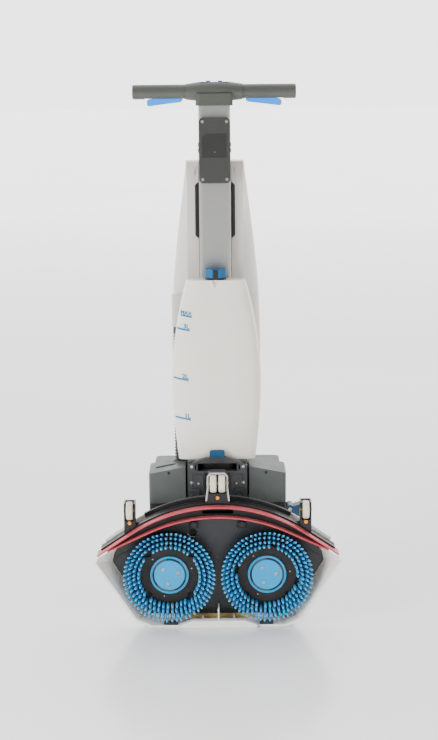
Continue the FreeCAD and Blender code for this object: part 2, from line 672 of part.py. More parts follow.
def handle_arch(half_x, drop, radius):
    """Arch shape at the top of the cover's front face, open over the column."""
    top = RECOVERY_TOP_Z - 2.0 - (53.0 - half_x)
    arch = block(-half_x, half_x, COVER_FRONT_Y - 5.0, COVER_FRONT_Y + 5.0, RECOVERY_TOP_Z - 4.0 - drop, top)
    arch = soften(arch, radius, lambda e: runs_along(e, V(0, 1, 0)) and e.BoundBox.ZMin > top - 1.0)
    return arch.cut(block(-GROOVE_HALF_X, GROOVE_HALF_X, -50, 50, 900, 1100))


def make_inlet_duct():
    """Boxed duct on the recovery tank's left flank, above the hose."""
    half = HOSE_R + 2.5
    x0, x1 = HOSE_X - half, HOSE_X + half
    y0, y1 = HOSE_Y - half, HOSE_Y + half + 1.5
    body = rounded_block(x0, x1, y0, y1, DUCT_BOTTOM_Z, DUCT_TOP_Z - 9.0, 8.0, V(0, 0, 1))
    neck = block(HOSE_X + 6.0, DUCT_PORT_X + 9.0, y1 - 16.0, RECOVERY_FRONT_Y, DUCT_TOP_Z - 52.0,
                 DUCT_TOP_Z - 12.0)
    lid = rounded_block(x0 - 1.0, x1 + 1.0, y0 - 1.0, y1 + 1.0, DUCT_TOP_Z - 9.0, COVER_SEAM_Z, 9.0,
                        V(0, 0, 1))
    duct = body.fuse([neck, lid])
    return duct.cut(rod_z(HOSE_BORE_R, DUCT_BOTTOM_Z - 1.0, DUCT_TOP_Z - 16.0, HOSE_X, HOSE_Y))


def make_vacuum_hose():
    """Corrugated hose from the housing up to the duct, with a plain cuff at each end."""
    cuff = 14.0
    z0, z1 = hose_foot_z(), DUCT_BOTTOM_Z - GAP
    count = int((z1 - z0 - 2 * cuff) / HOSE_PITCH)
    pitch = (z1 - z0 - 2 * cuff) / count
    profile = [V(HOSE_BORE_R, 0, z0), V(HOSE_R, 0, z0), V(HOSE_R, 0, z0 + cuff)]
    for i in range(count):
        z = z0 + cuff + i * pitch
        profile += [V(HOSE_ROOT_R, 0, z + 0.10 * pitch), V(HOSE_ROOT_R, 0, z + 0.45 * pitch),
                    V(HOSE_R, 0, z + 0.60 * pitch), V(HOSE_R, 0, z + 0.95 * pitch)]
    profile += [V(HOSE_R, 0, z1 - cuff + 0.1), V(HOSE_R, 0, z1), V(HOSE_BORE_R, 0, z1)]
    face = Part.Face(Part.makePolygon(profile + profile[:1]))
    hose = face.revolve(V(0, 0, 0), V(0, 0, 1), 360)
    hose.translate(V(HOSE_X, HOSE_Y, 0))
    return hose


# ---------------------------------------------------------------- base housing
def base_top_z(x):
    """Height of the side boxes' sloping top at a distance x from the middle."""
    run = (BASE_HALF_X - abs(x)) / (BASE_HALF_X - CORE_HALF_X)
    return BASE_EDGE_Z + (BASE_CROWN_Z - BASE_EDGE_Z) * run


def hose_foot_z():
    """Where the vacuum hose leaves its socket in the housing."""
    return BASE_CROWN_Z - 14.0


def side_box(inner_x, outer_x, front, back, bottom, drop=0.0):
    """Right-hand box under the sloping top."""
    outline = [(inner_x, bottom), (outer_x, bottom), (outer_x, base_top_z(outer_x) - drop),
               (inner_x, base_top_z(inner_x) - drop)]
    box = prism_y(outline, front, back)
    return soften(box, 6.0, lambda e: runs_along(e, V(0, 0, 1)) and e.BoundBox.XMin > outer_x - 0.1)


def make_base_housing():
    """Main moulding: a hollow core with a floor, a rear wall and the shelf for the recovery tank."""
    core = block(-CORE_HALF_X, CORE_HALF_X, CORE_FRONT_Y, BAY_BACK_Y, BAY_FLOOR_Z, CORE_TOP_Z)
    core = core.cut(block(-CORE_HALF_X + CORE_WALL, CORE_HALF_X - CORE_WALL, CORE_FRONT_Y - 1.0,
                          BAY_BACK_Y - CORE_WALL, BAY_FLOOR_Z + CORE_WALL, CORE_TOP_Z - CORE_WALL))
    rear_outline = [(BAY_BACK_Y, BASE_BOTTOM_Z), (BASE_BACK_Y - 30.0, BASE_BOTTOM_Z),
                    (BASE_BACK_Y, BASE_BOTTOM_Z + 26.0),
                    (BASE_BACK_Y, SHELF_Z), (BAY_BACK_Y, SHELF_Z)]
    rear = prism_x(rear_outline, -BASE_HALF_X + 10.0, BASE_HALF_X - 10.0)
    rear = soften(rear, 14.0, lambda e: runs_along(e, V(0, 0, 1)) and e.BoundBox.YMin > BASE_BACK_Y - 0.1)
    hollow_outline = [(BAY_BACK_Y + CORE_WALL, BASE_BOTTOM_Z + CORE_WALL),
                      (BASE_BACK_Y - 34.0, BASE_BOTTOM_Z + CORE_WALL),
                      (BASE_BACK_Y - CORE_WALL, BASE_BOTTOM_Z + 30.0),
                      (BASE_BACK_Y - CORE_WALL, SHELF_Z - CORE_WALL),
                      (BAY_BACK_Y + CORE_WALL, SHELF_Z - CORE_WALL)]
    rear = rear.cut(prism_x(hollow_outline, -BASE_HALF_X + 24.0, BASE_HALF_X - 24.0))
    floor = block(-BASE_HALF_X, BASE_HALF_X, CORE_FRONT_Y, BAY_BACK_Y, BAY_FLOOR_Z - CORE_WALL, BAY_FLOOR_Z)
    socket = rod_z(HOSE_R + 2.5, BAY_FLOOR_Z, hose_foot_z() + 12.0, HOSE_X, HOSE_Y)
    housing = core.fuse([rear, floor, socket])
    housing = housing.cut(rod_z(HOSE_R + GAP, hose_foot_z(), HEIGHT, HOSE_X, HOSE_Y))
    housing = housing.cut(rod_z(HOSE_BORE_R, BAY_FLOOR_Z + CORE_WALL, HEIGHT, HOSE_X, HOSE_Y))
    return housing.cut(column_pocket())


def column_pocket():
    """Room for the foot of the column."""
    return block(-COLUMN_HALF_X - FIT, COLUMN_HALF_X + FIT, COLUMN_FRONT_Y - FIT, COLUMN_BACK_Y + FIT,
                 COLUMN_FOOT_Z, HEIGHT)


def make_base_bottom_cover():
    """Black tray under the housing."""
    tray = block(-BASE_HALF_X, BASE_HALF_X, CORE_FRONT_Y, BAY_BACK_Y, BASE_BOTTOM_Z, BAY_FLOOR_Z - CORE_WALL)
    tray = soften(tray, 5.0, lambda e: runs_along(e, V(0, 0, 1)))
    return tray.cut(block(-BASE_HALF_X + 4.0, BASE_HALF_X - 4.0, CORE_FRONT_Y + 4.0, BAY_BACK_Y - 4.0,
                          BASE_BOTTOM_Z + 4.0, BAY_FLOOR_Z))


def make_centre_panel():
    """Black front panel with the lifting slot, the wheel pocket and two low bosses."""
    y0, y1 = PANEL_FRONT_Y, PANEL_FRONT_Y + PANEL_THICK
    panel = rounded_block(-CORE_HALF_X, CORE_HALF_X, y0, y1, BASE_BOTTOM_Z + 22.0, PANEL_TOP_Z, 9.0,
                          V(0, 1, 0))
    arch_r = (CORE_HALF_X ** 2 + PANEL_ARCH ** 2) / (2 * PANEL_ARCH)
    panel = panel.common(rod_y(arch_r, y0 - 1.0, y1 + 1.0, 0, PANEL_TOP_Z - arch_r))
    slot = rounded_block(-GRIP_SLOT_HALF_X, GRIP_SLOT_HALF_X, y0 - 1.0, y1 + 1.0, PANEL_TOP_Z - 31.0,
                         PANEL_TOP_Z - 14.0, 7.0, V(0, 1, 0))
    pocket = block(-POCKET_HALF_X, POCKET_HALF_X, y0 - 1.0, y1 - 3.0, BAY_FLOOR_Z + 10.0, PANEL_TOP_Z - 35.0)
    panel = panel.cut(slot).cut(pocket)
    for side in (-1, 1):
        x0, x1 = side * 37.0, side * 61.0
        boss = rounded_block(min(x0, x1), max(x0, x1), y0 - 3.0, y0 + 1.0, BASE_BOTTOM_Z + 22.0,
                             BASE_BOTTOM_Z + 62.0, 8.0, V(0, 1, 0))
        panel = panel.fuse(boss)
    return panel.cut(block(-LATCH_HALF_X - GAP, LATCH_HALF_X + GAP, LATCH_FRONT_Y - GAP,
                           LATCH_FRONT_Y + LATCH_THICK + GAP, LATCH_FOOT_Z - LATCH_TRAVEL - GAP,
                           PANEL_TOP_Z + 1.0))


def make_motor_cover():
    """Right-hand box over the vacuum motor."""
    cover = side_box(BATTERY_INNER_X, BASE_HALF_X, BASE_FRONT_Y, BAY_BACK_Y, BAY_FLOOR_Z)
    hollow = side_box(BATTERY_INNER_X - 1.0, BASE_HALF_X - 3.0, BASE_FRONT_Y + 3.0, BAY_BACK_Y + 1.0,
                      BAY_FLOOR_Z - 1.0, 3.0)
    return cover.cut(hollow).cut(rod_y(EYE_R, BASE_FRONT_Y - 1, BASE_FRONT_Y + 4, EYE_X, BASE_EDGE_Z + 1.5))


def make_battery():
    """Slide-out battery that forms the left-hand box, with a finger recess in its top."""
    pack = mirrored(side_box(BATTERY_INNER_X, BASE_HALF_X, BASE_FRONT_Y, BAY_BACK_Y - GAP, BAY_FLOOR_Z + GAP))
    recess = rounded_block(-138.0, -92.0, -50.0, -34.0, BASE_EDGE_Z - 4.0, HEIGHT, 7.9, V(0, 0, 1))
    relief = rod_z(HOSE_R + 4.0, BAY_FLOOR_Z, HEIGHT, HOSE_X, HOSE_Y)
    run = block(HOSE_X, -40.0, HOSE_Y - HOSE_R - 4.0, HOSE_Y + HOSE_R + 4.0, BAY_FLOOR_Z, HEIGHT)
    pack = pack.cut(rod_y(EYE_R, BASE_FRONT_Y - 1, BASE_FRONT_Y + 4, -EYE_X, BASE_EDGE_Z + 1.5))
    return pack.cut(recess).cut(relief).cut(run)


def make_vacuum_motor():
    """Vacuum motor: a fan housing and a smaller motor can, lying along Y."""
    fan = rod_y(27.0, -80.0, -48.0, 110.0, 290.0)
    can = rod_y(21.0, -48.0, 2.0, 110.0, 290.0)
    return fan.fuse(can)


def make_water_pump():
    """Water pump inside the core, with its two hose tails."""
    body = rod_x(14.0, -38.0, 2.0, -52.0, 278.0)
    head = block(2.0, 24.0, -66.0, -38.0, 264.0, 292.0)
    tails = [rod_z(3.5, 292.0, 306.0, 9.0, -52.0), rod_z(3.5, 292.0, 306.0, 18.0, -52.0)]
    return body.fuse([head] + tails)


# ---------------------------------------------------------------- fold, lean and pedal
def make_neck_bracket():
    """Two lugs under the housing that carry the fold pins, with the pedal's mounting boss."""
    pieces = []
    for side in (-1, 1):
        x0, x1 = side * LUG_INNER_X, side * (LUG_INNER_X + LUG_THICK)
        a, b = min(x0, x1), max(x0, x1)
        lug = rod_x(LUG_R, a, b, FOLD_Y, FOLD_Z).fuse(
            block(a, b, FOLD_Y - LUG_R, FOLD_Y + LUG_R, FOLD_Z, BASE_BOTTOM_Z))
        pieces.append(lug.cut(rod_x(FOLD_PIN_R + FIT, a - 1, b + 1, FOLD_Y, FOLD_Z)))
    bridge = block(-LUG_INNER_X - LUG_THICK, LUG_INNER_X + LUG_THICK, FOLD_Y - LUG_R, FOLD_Y + LUG_R,
                   BASE_BOTTOM_Z - 5.0, BASE_BOTTOM_Z)
    ear = rod_y(9.0, PEDAL_Y + PEDAL_HALF_Y + GAP, PEDAL_Y + PEDAL_HALF_Y + 9.0, PEDAL_PIVOT_X, PEDAL_Z)
    ear = ear.fuse(block(BASE_HALF_X - 14.0, PEDAL_PIVOT_X, PEDAL_Y + PEDAL_HALF_Y + GAP,
                         PEDAL_Y + PEDAL_HALF_Y + 9.0,
                         PEDAL_Z - 12.0, BASE_BOTTOM_Z))
    ear = ear.cut(rod_y(PEDAL_PIN_R + FIT, PEDAL_Y - 30, PEDAL_Y + 40, PEDAL_PIVOT_X, PEDAL_Z))
    return Part.makeCompound([pieces[0].fuse([pieces[1], bridge]), ear])


def make_pivot_pins():
    """Fold pins, trigger pins and the pedal pin."""
    pins = []
    reach = 1.0
    for side in (-1, 1):
        x0, x1 = side * (LUG_INNER_X - 12.0), side * (LUG_INNER_X + LUG_THICK + reach)
        pins.append(rod_x(FOLD_PIN_R, min(x0, x1), max(x0, x1), FOLD_Y, FOLD_Z))
        pins.append(rod_y(TRIGGER_PIN_R, COLUMN_Y - 10.5, COLUMN_Y + 10.5, side * TRIGGER_INNER_X,
                          trigger_pivot_z()))
    pins.append(rod_y(PEDAL_PIN_R, PEDAL_Y - PEDAL_HALF_Y - 2.0, PEDAL_Y + PEDAL_HALF_Y + 9.0, PEDAL_PIVOT_X,
                      PEDAL_Z))
    return Part.makeCompound(pins)


def make_release_pedal():
    """Foot pedal that frees the folded deck."""
    y0, y1 = PEDAL_Y - PEDAL_HALF_Y, PEDAL_Y + PEDAL_HALF_Y
    hub = rod_y(9.0, y0, y1, PEDAL_PIVOT_X, PEDAL_Z)
    outline = [(PEDAL_PIVOT_X, PEDAL_Z - 9.0), (PEDAL_PIVOT_X + 14.0, PEDAL_Z - 26.0),
               (PEDAL_PIVOT_X + 33.0, PEDAL_Z - 14.0),
               (PEDAL_PIVOT_X + 33.0, PEDAL_Z - 2.0), (PEDAL_PIVOT_X + 26.0, PEDAL_Z + 12.0),
               (PEDAL_PIVOT_X + 5.0, PEDAL_Z + 5.0)]
    pedal = hub.fuse(prism_y(outline, y0, y1))
    return pedal.cut(rod_y(PEDAL_PIN_R + FIT, y0 - 1, y1 + 1, PEDAL_PIVOT_X, PEDAL_Z))


def make_neck():
    """Cranked neck: a cross barrel on the fold pins and a spigot that swivels in the deck."""
    half = LUG_INNER_X - GAP
    barrel = rod_x(14.0, -half, half, FOLD_Y, FOLD_Z)
    spigot = rod_z(SPIGOT_R, SPIGOT_BOTTOM_Z, SOCKET_TOP_Z + 10.0, 0, LEAN_Y)
    collar = rod_z(SOCKET_R, SOCKET_TOP_Z + GAP, SOCKET_TOP_Z + 10.0, 0, LEAN_Y)
    arm = [(LEAN_Y - 22.0, SOCKET_TOP_Z + 6.0), (LEAN_Y + 24.0, SOCKET_TOP_Z + 4.0),
           (FOLD_Y + 10.0, FOLD_Z - 10.0),
           (FOLD_Y - 2.0, FOLD_Z + 13.0), (LEAN_Y + 2.0, SOCKET_TOP_Z + 40.0),
           (LEAN_Y - 20.0, SOCKET_TOP_Z + 24.0)]
    web = prism_x(arm, -20.0, 20.0)
    web = soften(web, 5.0, lambda e: runs_along(e, V(1, 0, 0)))
    clip = hose_clip()
    neck = barrel.fuse([spigot, collar, web, clip])
    for side in (-1, 1):
        x0, x1 = side * (LUG_INNER_X - 12.0 - 1.0), side * (half + 1.0)
        neck = neck.cut(rod_x(FOLD_PIN_R + FIT, min(x0, x1), max(x0, x1), FOLD_Y, FOLD_Z))
    return neck


# ---------------------------------------------------------------- suction hose across the joint


def hose_clip():
    """Ring on the neck that holds the suction hose."""
    ring = rod_y(SUCTION_R + 4.0, CLIP_Y - CLIP_HALF_Y, CLIP_Y + CLIP_HALF_Y, SUCTION_X, SUCTION_Z)
    foot_z = SUCTION_Z - SUCTION_R - 1.0
    ring = ring.fuse(block(SUCTION_X, -10.0, CLIP_Y - CLIP_HALF_Y, CLIP_Y + CLIP_HALF_Y, foot_z - 14.0,
                           foot_z))
    return ring.cut(rod_y(SUCTION_R, CLIP_Y - 20, CLIP_Y + 20, SUCTION_X, SUCTION_Z))


def swept_tube(wire, radius, bore):
    """Tube along a wire of lines and arcs."""
    start = wire.Edges[0].Vertexes[0].Point
    tangent = wire.Edges[0].tangentAt(wire.Edges[0].FirstParameter)
    outer = wire.makePipeShell([Part.Wire(Part.makeCircle(radius, start, tangent))], True, True)
    inner = wire.makePipeShell([Part.Wire(Part.makeCircle(bore, start, tangent))], True, True)
    return outer.cut(inner)


def make_hose_upper():
    """Hose from the housing's port, round the fold axis, to the middle of the neck's clip."""
    down = V(SUCTION_X, FOLD_Y, SUCTION_TOP_Z)
    turn_start = V(SUCTION_X, FOLD_Y, SUCTION_Z + SUCTION_BEND)
    turn_end = V(SUCTION_X, FOLD_Y - SUCTION_BEND, SUCTION_Z)
    half = SUCTION_BEND * (1 - math.sqrt(0.5))
    middle = V(SUCTION_X, FOLD_Y - half, SUCTION_Z + half)
    end = V(SUCTION_X, CLIP_Y, SUCTION_Z)
    edges = [Part.LineSegment(down, turn_start).toShape(), Part.Arc(turn_start, middle, turn_end).toShape(),
             Part.LineSegment(turn_end, end).toShape()]
    return swept_tube(Part.Wire(edges), SUCTION_R, SUCTION_BORE_R)


def make_hose_lower():
    """Hose from the clip to the port on the back of the deck."""
    return tube(SUCTION_R, SUCTION_BORE_R, V(SUCTION_X, CLIP_Y, SUCTION_Z),
                V(SUCTION_X, COVER_BACK_Y, SUCTION_Z))


# ---------------------------------------------------------------- deck
def rear_outline_wire(offset, y):
    """Deck outline: the skirt's root along the sides and the squeegee's arc along the rear."""
    near, far, top = rear_path(offset, 250.0)
    edges = band_edges((near, far, top), y)
    side = [V(x, y, z) for x, z in reversed(ROOT_POINTS)]
    right = [V(far[0], y, far[1])] + side
    left = [V(-p.x, p.y, p.z) for p in right]
    for chain in (right, left):
        for a, b in zip(chain, chain[1:]):
            edges.append(Part.LineSegment(a, b).toShape())
    edges.append(Part.LineSegment(right[-1], left[-1]).toShape())
    return Part.Wire(Part.__sortEdges__(edges))


def skirt_wire(points, y, inset=0.0):
    """Closed outline of the skirt at one depth; inset gives the inner face, which runs on past the top."""
    half = [(x - inset, z + (inset if z < 100.0 else 0.0)) for x, z in points]
    if inset:
        half[-1] = (half[-1][0], half[-1][1] + 30.0)
    corners = [V(x, y, z) for x, z in mirror_outline(half)]
    return Part.makePolygon(corners + corners[:1])


def make_deck_cover():
    """White deck shell: back wall with two motor domes, flared skirt, nose lip and ribs."""
    back_face = Part.Face(rear_outline_wire(COVER_EDGE, PLATE_BACK_Y))
    back_wall = back_face.extrude(V(0, COVER_BACK_Y - PLATE_BACK_Y, 0))
    outer = Part.makeLoft([skirt_wire(ROOT_POINTS, PLATE_BACK_Y), skirt_wire(RIM_POINTS, SKIRT_RIM_Y)], True,
                          True)
    inner = Part.makeLoft([skirt_wire(ROOT_POINTS, PLATE_BACK_Y + 0.5, SKIRT_WALL),
                           skirt_wire(RIM_POINTS, SKIRT_RIM_Y - 0.5, SKIRT_WALL)], True, True)
    skirt = outer.cut(inner).cut(squeegee_side(-6.0, SKIRT_RIM_Y - 2.0, PLATE_BACK_Y))
    lip_end = 0.4 * LIP_HEIGHT
    lip = prism_y([(-LIP_HALF_X, 0.0), (LIP_HALF_X, 0.0), (LIP_HALF_X, lip_end),
                   (LIP_HALF_X - 26.0, LIP_HEIGHT),
                   (-LIP_HALF_X + 26.0, LIP_HEIGHT), (-LIP_HALF_X, lip_end)], FLOOR_SIDE_Y + 4.0,
                   SKIRT_RIM_Y + 8.0)
    pieces = [skirt, lip]
    for x, top in ((-RIB_X, LIP_HEIGHT), (0.0, LIP_HEIGHT + 24.0), (RIB_X, LIP_HEIGHT)):
        pieces.append(block(x - 1.4, x + 1.4, SKIRT_RIM_Y + 4.0, PLATE_FRONT_Y, 2.0, top))
    cover = back_wall.fuse(pieces)
    for side in (-1, 1):
        dome = rod_y(DOME_R, COVER_BACK_Y - 1.0, MOTOR_BACK_Y + 8.0, side * BRUSH_X, BRUSH_Z)
        dome = soften(dome, 14.0, lambda e: e.BoundBox.YMin > MOTOR_BACK_Y + 7.0)
        cover = cover.fuse(dome)
    for side in (-1, 1):
        hollow = rod_y(DOME_R - DOME_WALL, PLATE_BACK_Y - 1.0, MOTOR_BACK_Y + 8.0 - DOME_WALL,
                       side * BRUSH_X, BRUSH_Z)
        hollow = soften(hollow, 11.0, lambda e: e.BoundBox.YMin > MOTOR_BACK_Y + 4.0)
        cover = cover.cut(hollow)
    for side in (-1, 1):
        cover = cover.cut(pad_room(side))
    for x, z in knob_places():
        cover = cover.cut(rod_y(KNOB_SHANK_R + 0.2, PLATE_BACK_Y - 1, COVER_BACK_Y + 1, x, z))
    return cover.cut(rod_y(SUCTION_BORE_R, PLATE_BACK_Y - 1.0, COVER_BACK_Y + 1.0, SUCTION_X, SUCTION_Z))


def pad_room(side):
    """Slot in the skirt's nose for one rubber pad."""
    return block(side * PAD_X - 15.0, side * PAD_X + 15.0, SKIRT_RIM_Y + 3.0, -150.0, -1.0, 6.0)


def make_nose_pads():
    """Rubber pads that the nose stands on."""
    pads = [rounded_block(side * PAD_X - 15.0, side * PAD_X + 15.0, SKIRT_RIM_Y + 3.0, -150.0, 0.0, 6.0, 2.0,
                          V(0, 1, 0))
            for side in (-1, 1)]
    return Part.makeCompound(pads)




def knob_places():
    """Centres of the two squeegee knobs."""
    return [(-KNOB_X, KNOB_Z), (KNOB_X, KNOB_Z)]


def make_deck_plate():
    """Dark underside plate that carries the gearmotors; the squeegee's arc trims its rear edge."""
    beyond = (150.0, 280.0)
    plate = prism_y(mirror_outline(PLATE_POINTS + [beyond]), PLATE_FRONT_Y, PLATE_BACK_Y)
    plate = plate.cut(squeegee_side(-5.0, PLATE_FRONT_Y - 1.0, PLATE_BACK_Y + 1.0))
    for side in (-1, 1):
        plate = plate.cut(rod_y(SPINDLE_R + 2.0, PLATE_FRONT_Y - 1, PLATE_BACK_Y + 1, side * BRUSH_X,
                                BRUSH_Z))
        pad = rounded_block(-24.0, 24.0, PLATE_FRONT_Y - 1.5, PLATE_FRONT_Y + 1.0, -24.0, 24.0, 14.0,
                            V(0, 1, 0))
        pad.rotate(V(0, 0, 0), V(0, 1, 0), side * 26.0)
        pad.translate(V(side * 198.0, 0, 135.0))
        plate = plate.fuse(pad)
    for x, z in knob_places():
        plate = plate.cut(rod_y(KNOB_SHANK_R + 0.2, PLATE_FRONT_Y - 1, PLATE_BACK_Y + 1, x, z))
    return plate.cut(rod_y(SUCTION_BORE_R, PLATE_FRONT_Y - 1, PLATE_BACK_Y + 1, SUCTION_X, SUCTION_Z))


def make_gearmotor(side):
    """Brush gearmotor: gearbox flange on the plate and motor can behind it."""
    x = side * BRUSH_X
    gearbox = rod_y(GEARBOX_R, PLATE_BACK_Y, -92.0, x, BRUSH_Z)
    gearbox = soften(gearbox, 4.0, lambda e: e.BoundBox.YMin > -93.0)
    can = rod_y(MOTOR_R, -92.5, MOTOR_BACK_Y, x, BRUSH_Z)
    can = soften(can, 4.0, lambda e: e.BoundBox.YMin > MOTOR_BACK_Y - 1.0)
    bore = rod_y(SPINDLE_R + FIT, PLATE_BACK_Y - 1.0, PLATE_BACK_Y + 28.0, x, BRUSH_Z)
    return gearbox.fuse(can).cut(bore)


def make_swivel_socket():
    """Socket on the back of the deck in which the neck's spigot swivels."""
    bottom = SPIGOT_BOTTOM_Z - 10.0
    barrel = rod_z(SOCKET_R, bottom, SOCKET_TOP_Z, 0, LEAN_Y)
    web = block(-18.0, 18.0, COVER_BACK_Y, LEAN_Y, bottom, SOCKET_TOP_Z - 6.0)
    foot = rounded_block(-30.0, 30.0, COVER_BACK_Y, COVER_BACK_Y + 6.0, bottom - 14.0, SOCKET_TOP_Z + 6.0,
                         8.0, V(0, 1, 0))
    return barrel.fuse([web, foot]).cut(rod_z(SPIGOT_R + FIT, SPIGOT_BOTTOM_Z - FIT, SOCKET_TOP_Z + 1.0, 0,
                                              LEAN_Y))


def make_transport_axle():
    """Axle for the transport wheels with the bracket that ties it to the deck."""
    axle = rod_x(AXLE_R, -WHEEL_TREAD_X - TRANSPORT_WIDTH / 2 - 4.0,
                 WHEEL_TREAD_X + TRANSPORT_WIDTH / 2 + 4.0,
                 TRANSPORT_Y, TRANSPORT_R)
    arms = []
    for side in (-1, 1):
        x = side * (WHEEL_TREAD_X - TRANSPORT_WIDTH / 2 - 9.0)
        outline = [(COVER_BACK_Y, 20.0), (COVER_BACK_Y, 52.0), (TRANSPORT_Y, TRANSPORT_R + 12.0),
                   (TRANSPORT_Y + 12.0, TRANSPORT_R), (TRANSPORT_Y, TRANSPORT_R - 12.0)]
        arms.append(prism_x(outline, x - 5.0, x + 5.0))
    tie = block(-WHEEL_TREAD_X + 20.0, WHEEL_TREAD_X - 20.0, COVER_BACK_Y, COVER_BACK_Y + 5.0, 22.0, 50.0)
    return axle.fuse(arms + [tie])


def make_transport_wheel(side):
    """Rubber-tyred transport wheel."""
    x = side * WHEEL_TREAD_X
    half = TRANSPORT_WIDTH / 2
    wheel = rod_x(TRANSPORT_R, x - half, x + half, TRANSPORT_Y, TRANSPORT_R)
    wheel = soften(wheel, 4.0, lambda e: True)
    for face in (-1, 1):
        dish = rod_x(TRANSPORT_R - 11.0, x + face * half - 4.0, x + face * half + 4.0, TRANSPORT_Y,
                     TRANSPORT_R)
        hub = rod_x(AXLE_R + 6.0, x + face * half - 5.0, x + face * half + 5.0, TRANSPORT_Y, TRANSPORT_R)
        wheel = wheel.cut(dish.cut(hub))
    return wheel.cut(rod_x(AXLE_R + FIT, x - half - 1, x + half + 1, TRANSPORT_Y, TRANSPORT_R))


def make_knobs():
    """Shouldered knobs that the squeegee floats on."""
    knobs = []
    under_head = FRAME_BACK_Y - TONGUE_THICK - FLOAT_TRAVEL - 0.5
    for x, z in knob_places():
        shank = rod_y(KNOB_SHANK_R, under_head - 2.0, COVER_BACK_Y + 3.0, x, z)
        head = rod_y(6.5, under_head - 6.0, under_head, x, z)
        knobs.append(shank.fuse(head))
    return Part.makeCompound(knobs)


# ---------------------------------------------------------------- brushes
def make_brush_disc(side):
    """Black brush board with a raised core."""
    x = side * BRUSH_X
    board = rod_y(BRUSH_DISC_R, DISC_FRONT_Y, DISC_BACK_Y, x, BRUSH_Z)
    core = rod_y(BRUSH_CORE_R, DISC_FRONT_Y - 6.0, DISC_FRONT_Y, x, BRUSH_Z)
    disc = board.fuse(core)
    notches = 4
    for i in range(notches):
        a = math.radians(45.0 + 360.0 * i / notches)
        r = BRUSH_CORE_R + 1.0
        disc = disc.cut(rod_y(6.0, DISC_FRONT_Y - 7.0, DISC_FRONT_Y, x + r * math.cos(a),
                              BRUSH_Z + r * math.sin(a)))
    return disc.cut(rod_y(SPINDLE_R + 0.02, DISC_FRONT_Y - 7.0, DISC_BACK_Y + 1.0, x, BRUSH_Z))


def make_bristles(side):
    """Ring of bristles as one flared solid."""
    x = side * BRUSH_X
    profile = [V(BRUSH_CORE_R + 0.8, DISC_FRONT_Y, 0), V(BRUSH_DISC_R, DISC_FRONT_Y, 0),
               V(BRUSH_TIP_R, TIP_Y, 0),
               V(BRUSH_CORE_R + 0.8, TIP_Y, 0)]
    ring = Part.Face(Part.makePolygon(profile + profile[:1])).revolve(V(0, 0, 0), V(0, 1, 0), 360)
    ring.translate(V(x, 0, BRUSH_Z))
    return ring


def make_hub_cap(side):
    """Blue hub: a centre disc inside a thin rim."""
    x = side * BRUSH_X
    front = DISC_FRONT_Y - 6.0
    base = rod_y(HUB_R, front - 3.0, front, x, BRUSH_Z)
    disc = rod_y(HUB_DISC_R, front - 6.0, front - 3.0, x, BRUSH_Z)
    disc = soften(disc, 1.0, lambda e: e.BoundBox.YMax < front - 5.9)
    rim = rod_y(HUB_R, front - 5.0, front - 3.0, x, BRUSH_Z).cut(
        rod_y(HUB_R - 2.6, front - 6.0, front - 2.0, x, BRUSH_Z))
    return base.fuse([disc, rim])


def make_spindle(side):
    """Drive spindle with the flange that carries the brush board."""
    x = side * BRUSH_X
    shaft = rod_y(SPINDLE_R, DISC_FRONT_Y - 5.5, PLATE_BACK_Y + 25.0, x, BRUSH_Z)
    flange = rod_y(24.0, DISC_BACK_Y, DISC_BACK_Y + 5.0, x, BRUSH_Z)
    return shaft.fuse(flange)


# ---------------------------------------------------------------- squeegee
def make_squeegee_frame():
    """Curved frame with a rib between the blades, a suction slot and two tongues for the knobs."""
    plate = band(front_path(-FRAME_RIM, 244.0), rear_path(FRAME_RIM, 256.0), FRAME_STEP_Y, FRAME_BACK_Y)
    room = BLADE_THICK / 2 + 0.1
    rib = band(front_path(room, FRAME_INNER_END_X), rear_path(-room, FRAME_INNER_END_X), FRAME_FRONT_Y,
               FRAME_STEP_Y)
    frame = plate.fuse(rib)
    for x, z in knob_places():
        tongue = block(x - 11.0, x + 11.0, FRAME_BACK_Y - TONGUE_THICK, FRAME_BACK_Y, z - 11.0, z + 28.0)
        frame = frame.fuse(tongue)
    for x, z in knob_places():
        frame = frame.cut(rod_y(KNOB_SHANK_R + GAP, FRAME_STEP_Y - 1.0, FRAME_BACK_Y + 1.0, x, z))
    slot = rounded_block(-34.0, 34.0, FRAME_FRONT_Y - 1.0, FRAME_FRONT_Y + 22.0, 254.5, 262.5, 3.6,
                         V(0, 1, 0))
    return frame.cut(slot)


def rear_blade():
    """Outer blade, in contact with the floor behind the machine."""
    return band(rear_path(-BLADE_THICK / 2), rear_path(BLADE_THICK / 2), FLOOR_SIDE_Y, BLADE_ROOT_Y)


def front_blade():
    """Inner blade."""
    return band(front_path(-BLADE_THICK / 2), front_path(BLADE_THICK / 2), FLOOR_SIDE_Y + 2.0, BLADE_ROOT_Y)


def wheel_places():
    """X and Z of every squeegee wheel."""
    return {"side_wheel_left": (-SIDE_WHEEL_X, SIDE_WHEEL_Z),
            "side_wheel_right": (SIDE_WHEEL_X, SIDE_WHEEL_Z),
            "centre_wheel_left": (-CENTRE_WHEEL_X, CENTRE_WHEEL_Z),
            "centre_wheel_right": (CENTRE_WHEEL_X, CENTRE_WHEEL_Z)}


def make_small_wheel(x, z):
    """Small floor wheel with a rounded tread."""
    half = WHEEL_WIDTH / 2
    wheel = rod_x(WHEEL_R, x - half, x + half, WHEEL_Y, z)
    wheel = soften(wheel, 4.0, lambda e: True)
    return wheel.cut(rod_x(WHEEL_PIN_R + FIT, x - half - 1, x + half + 1, WHEEL_Y, z))


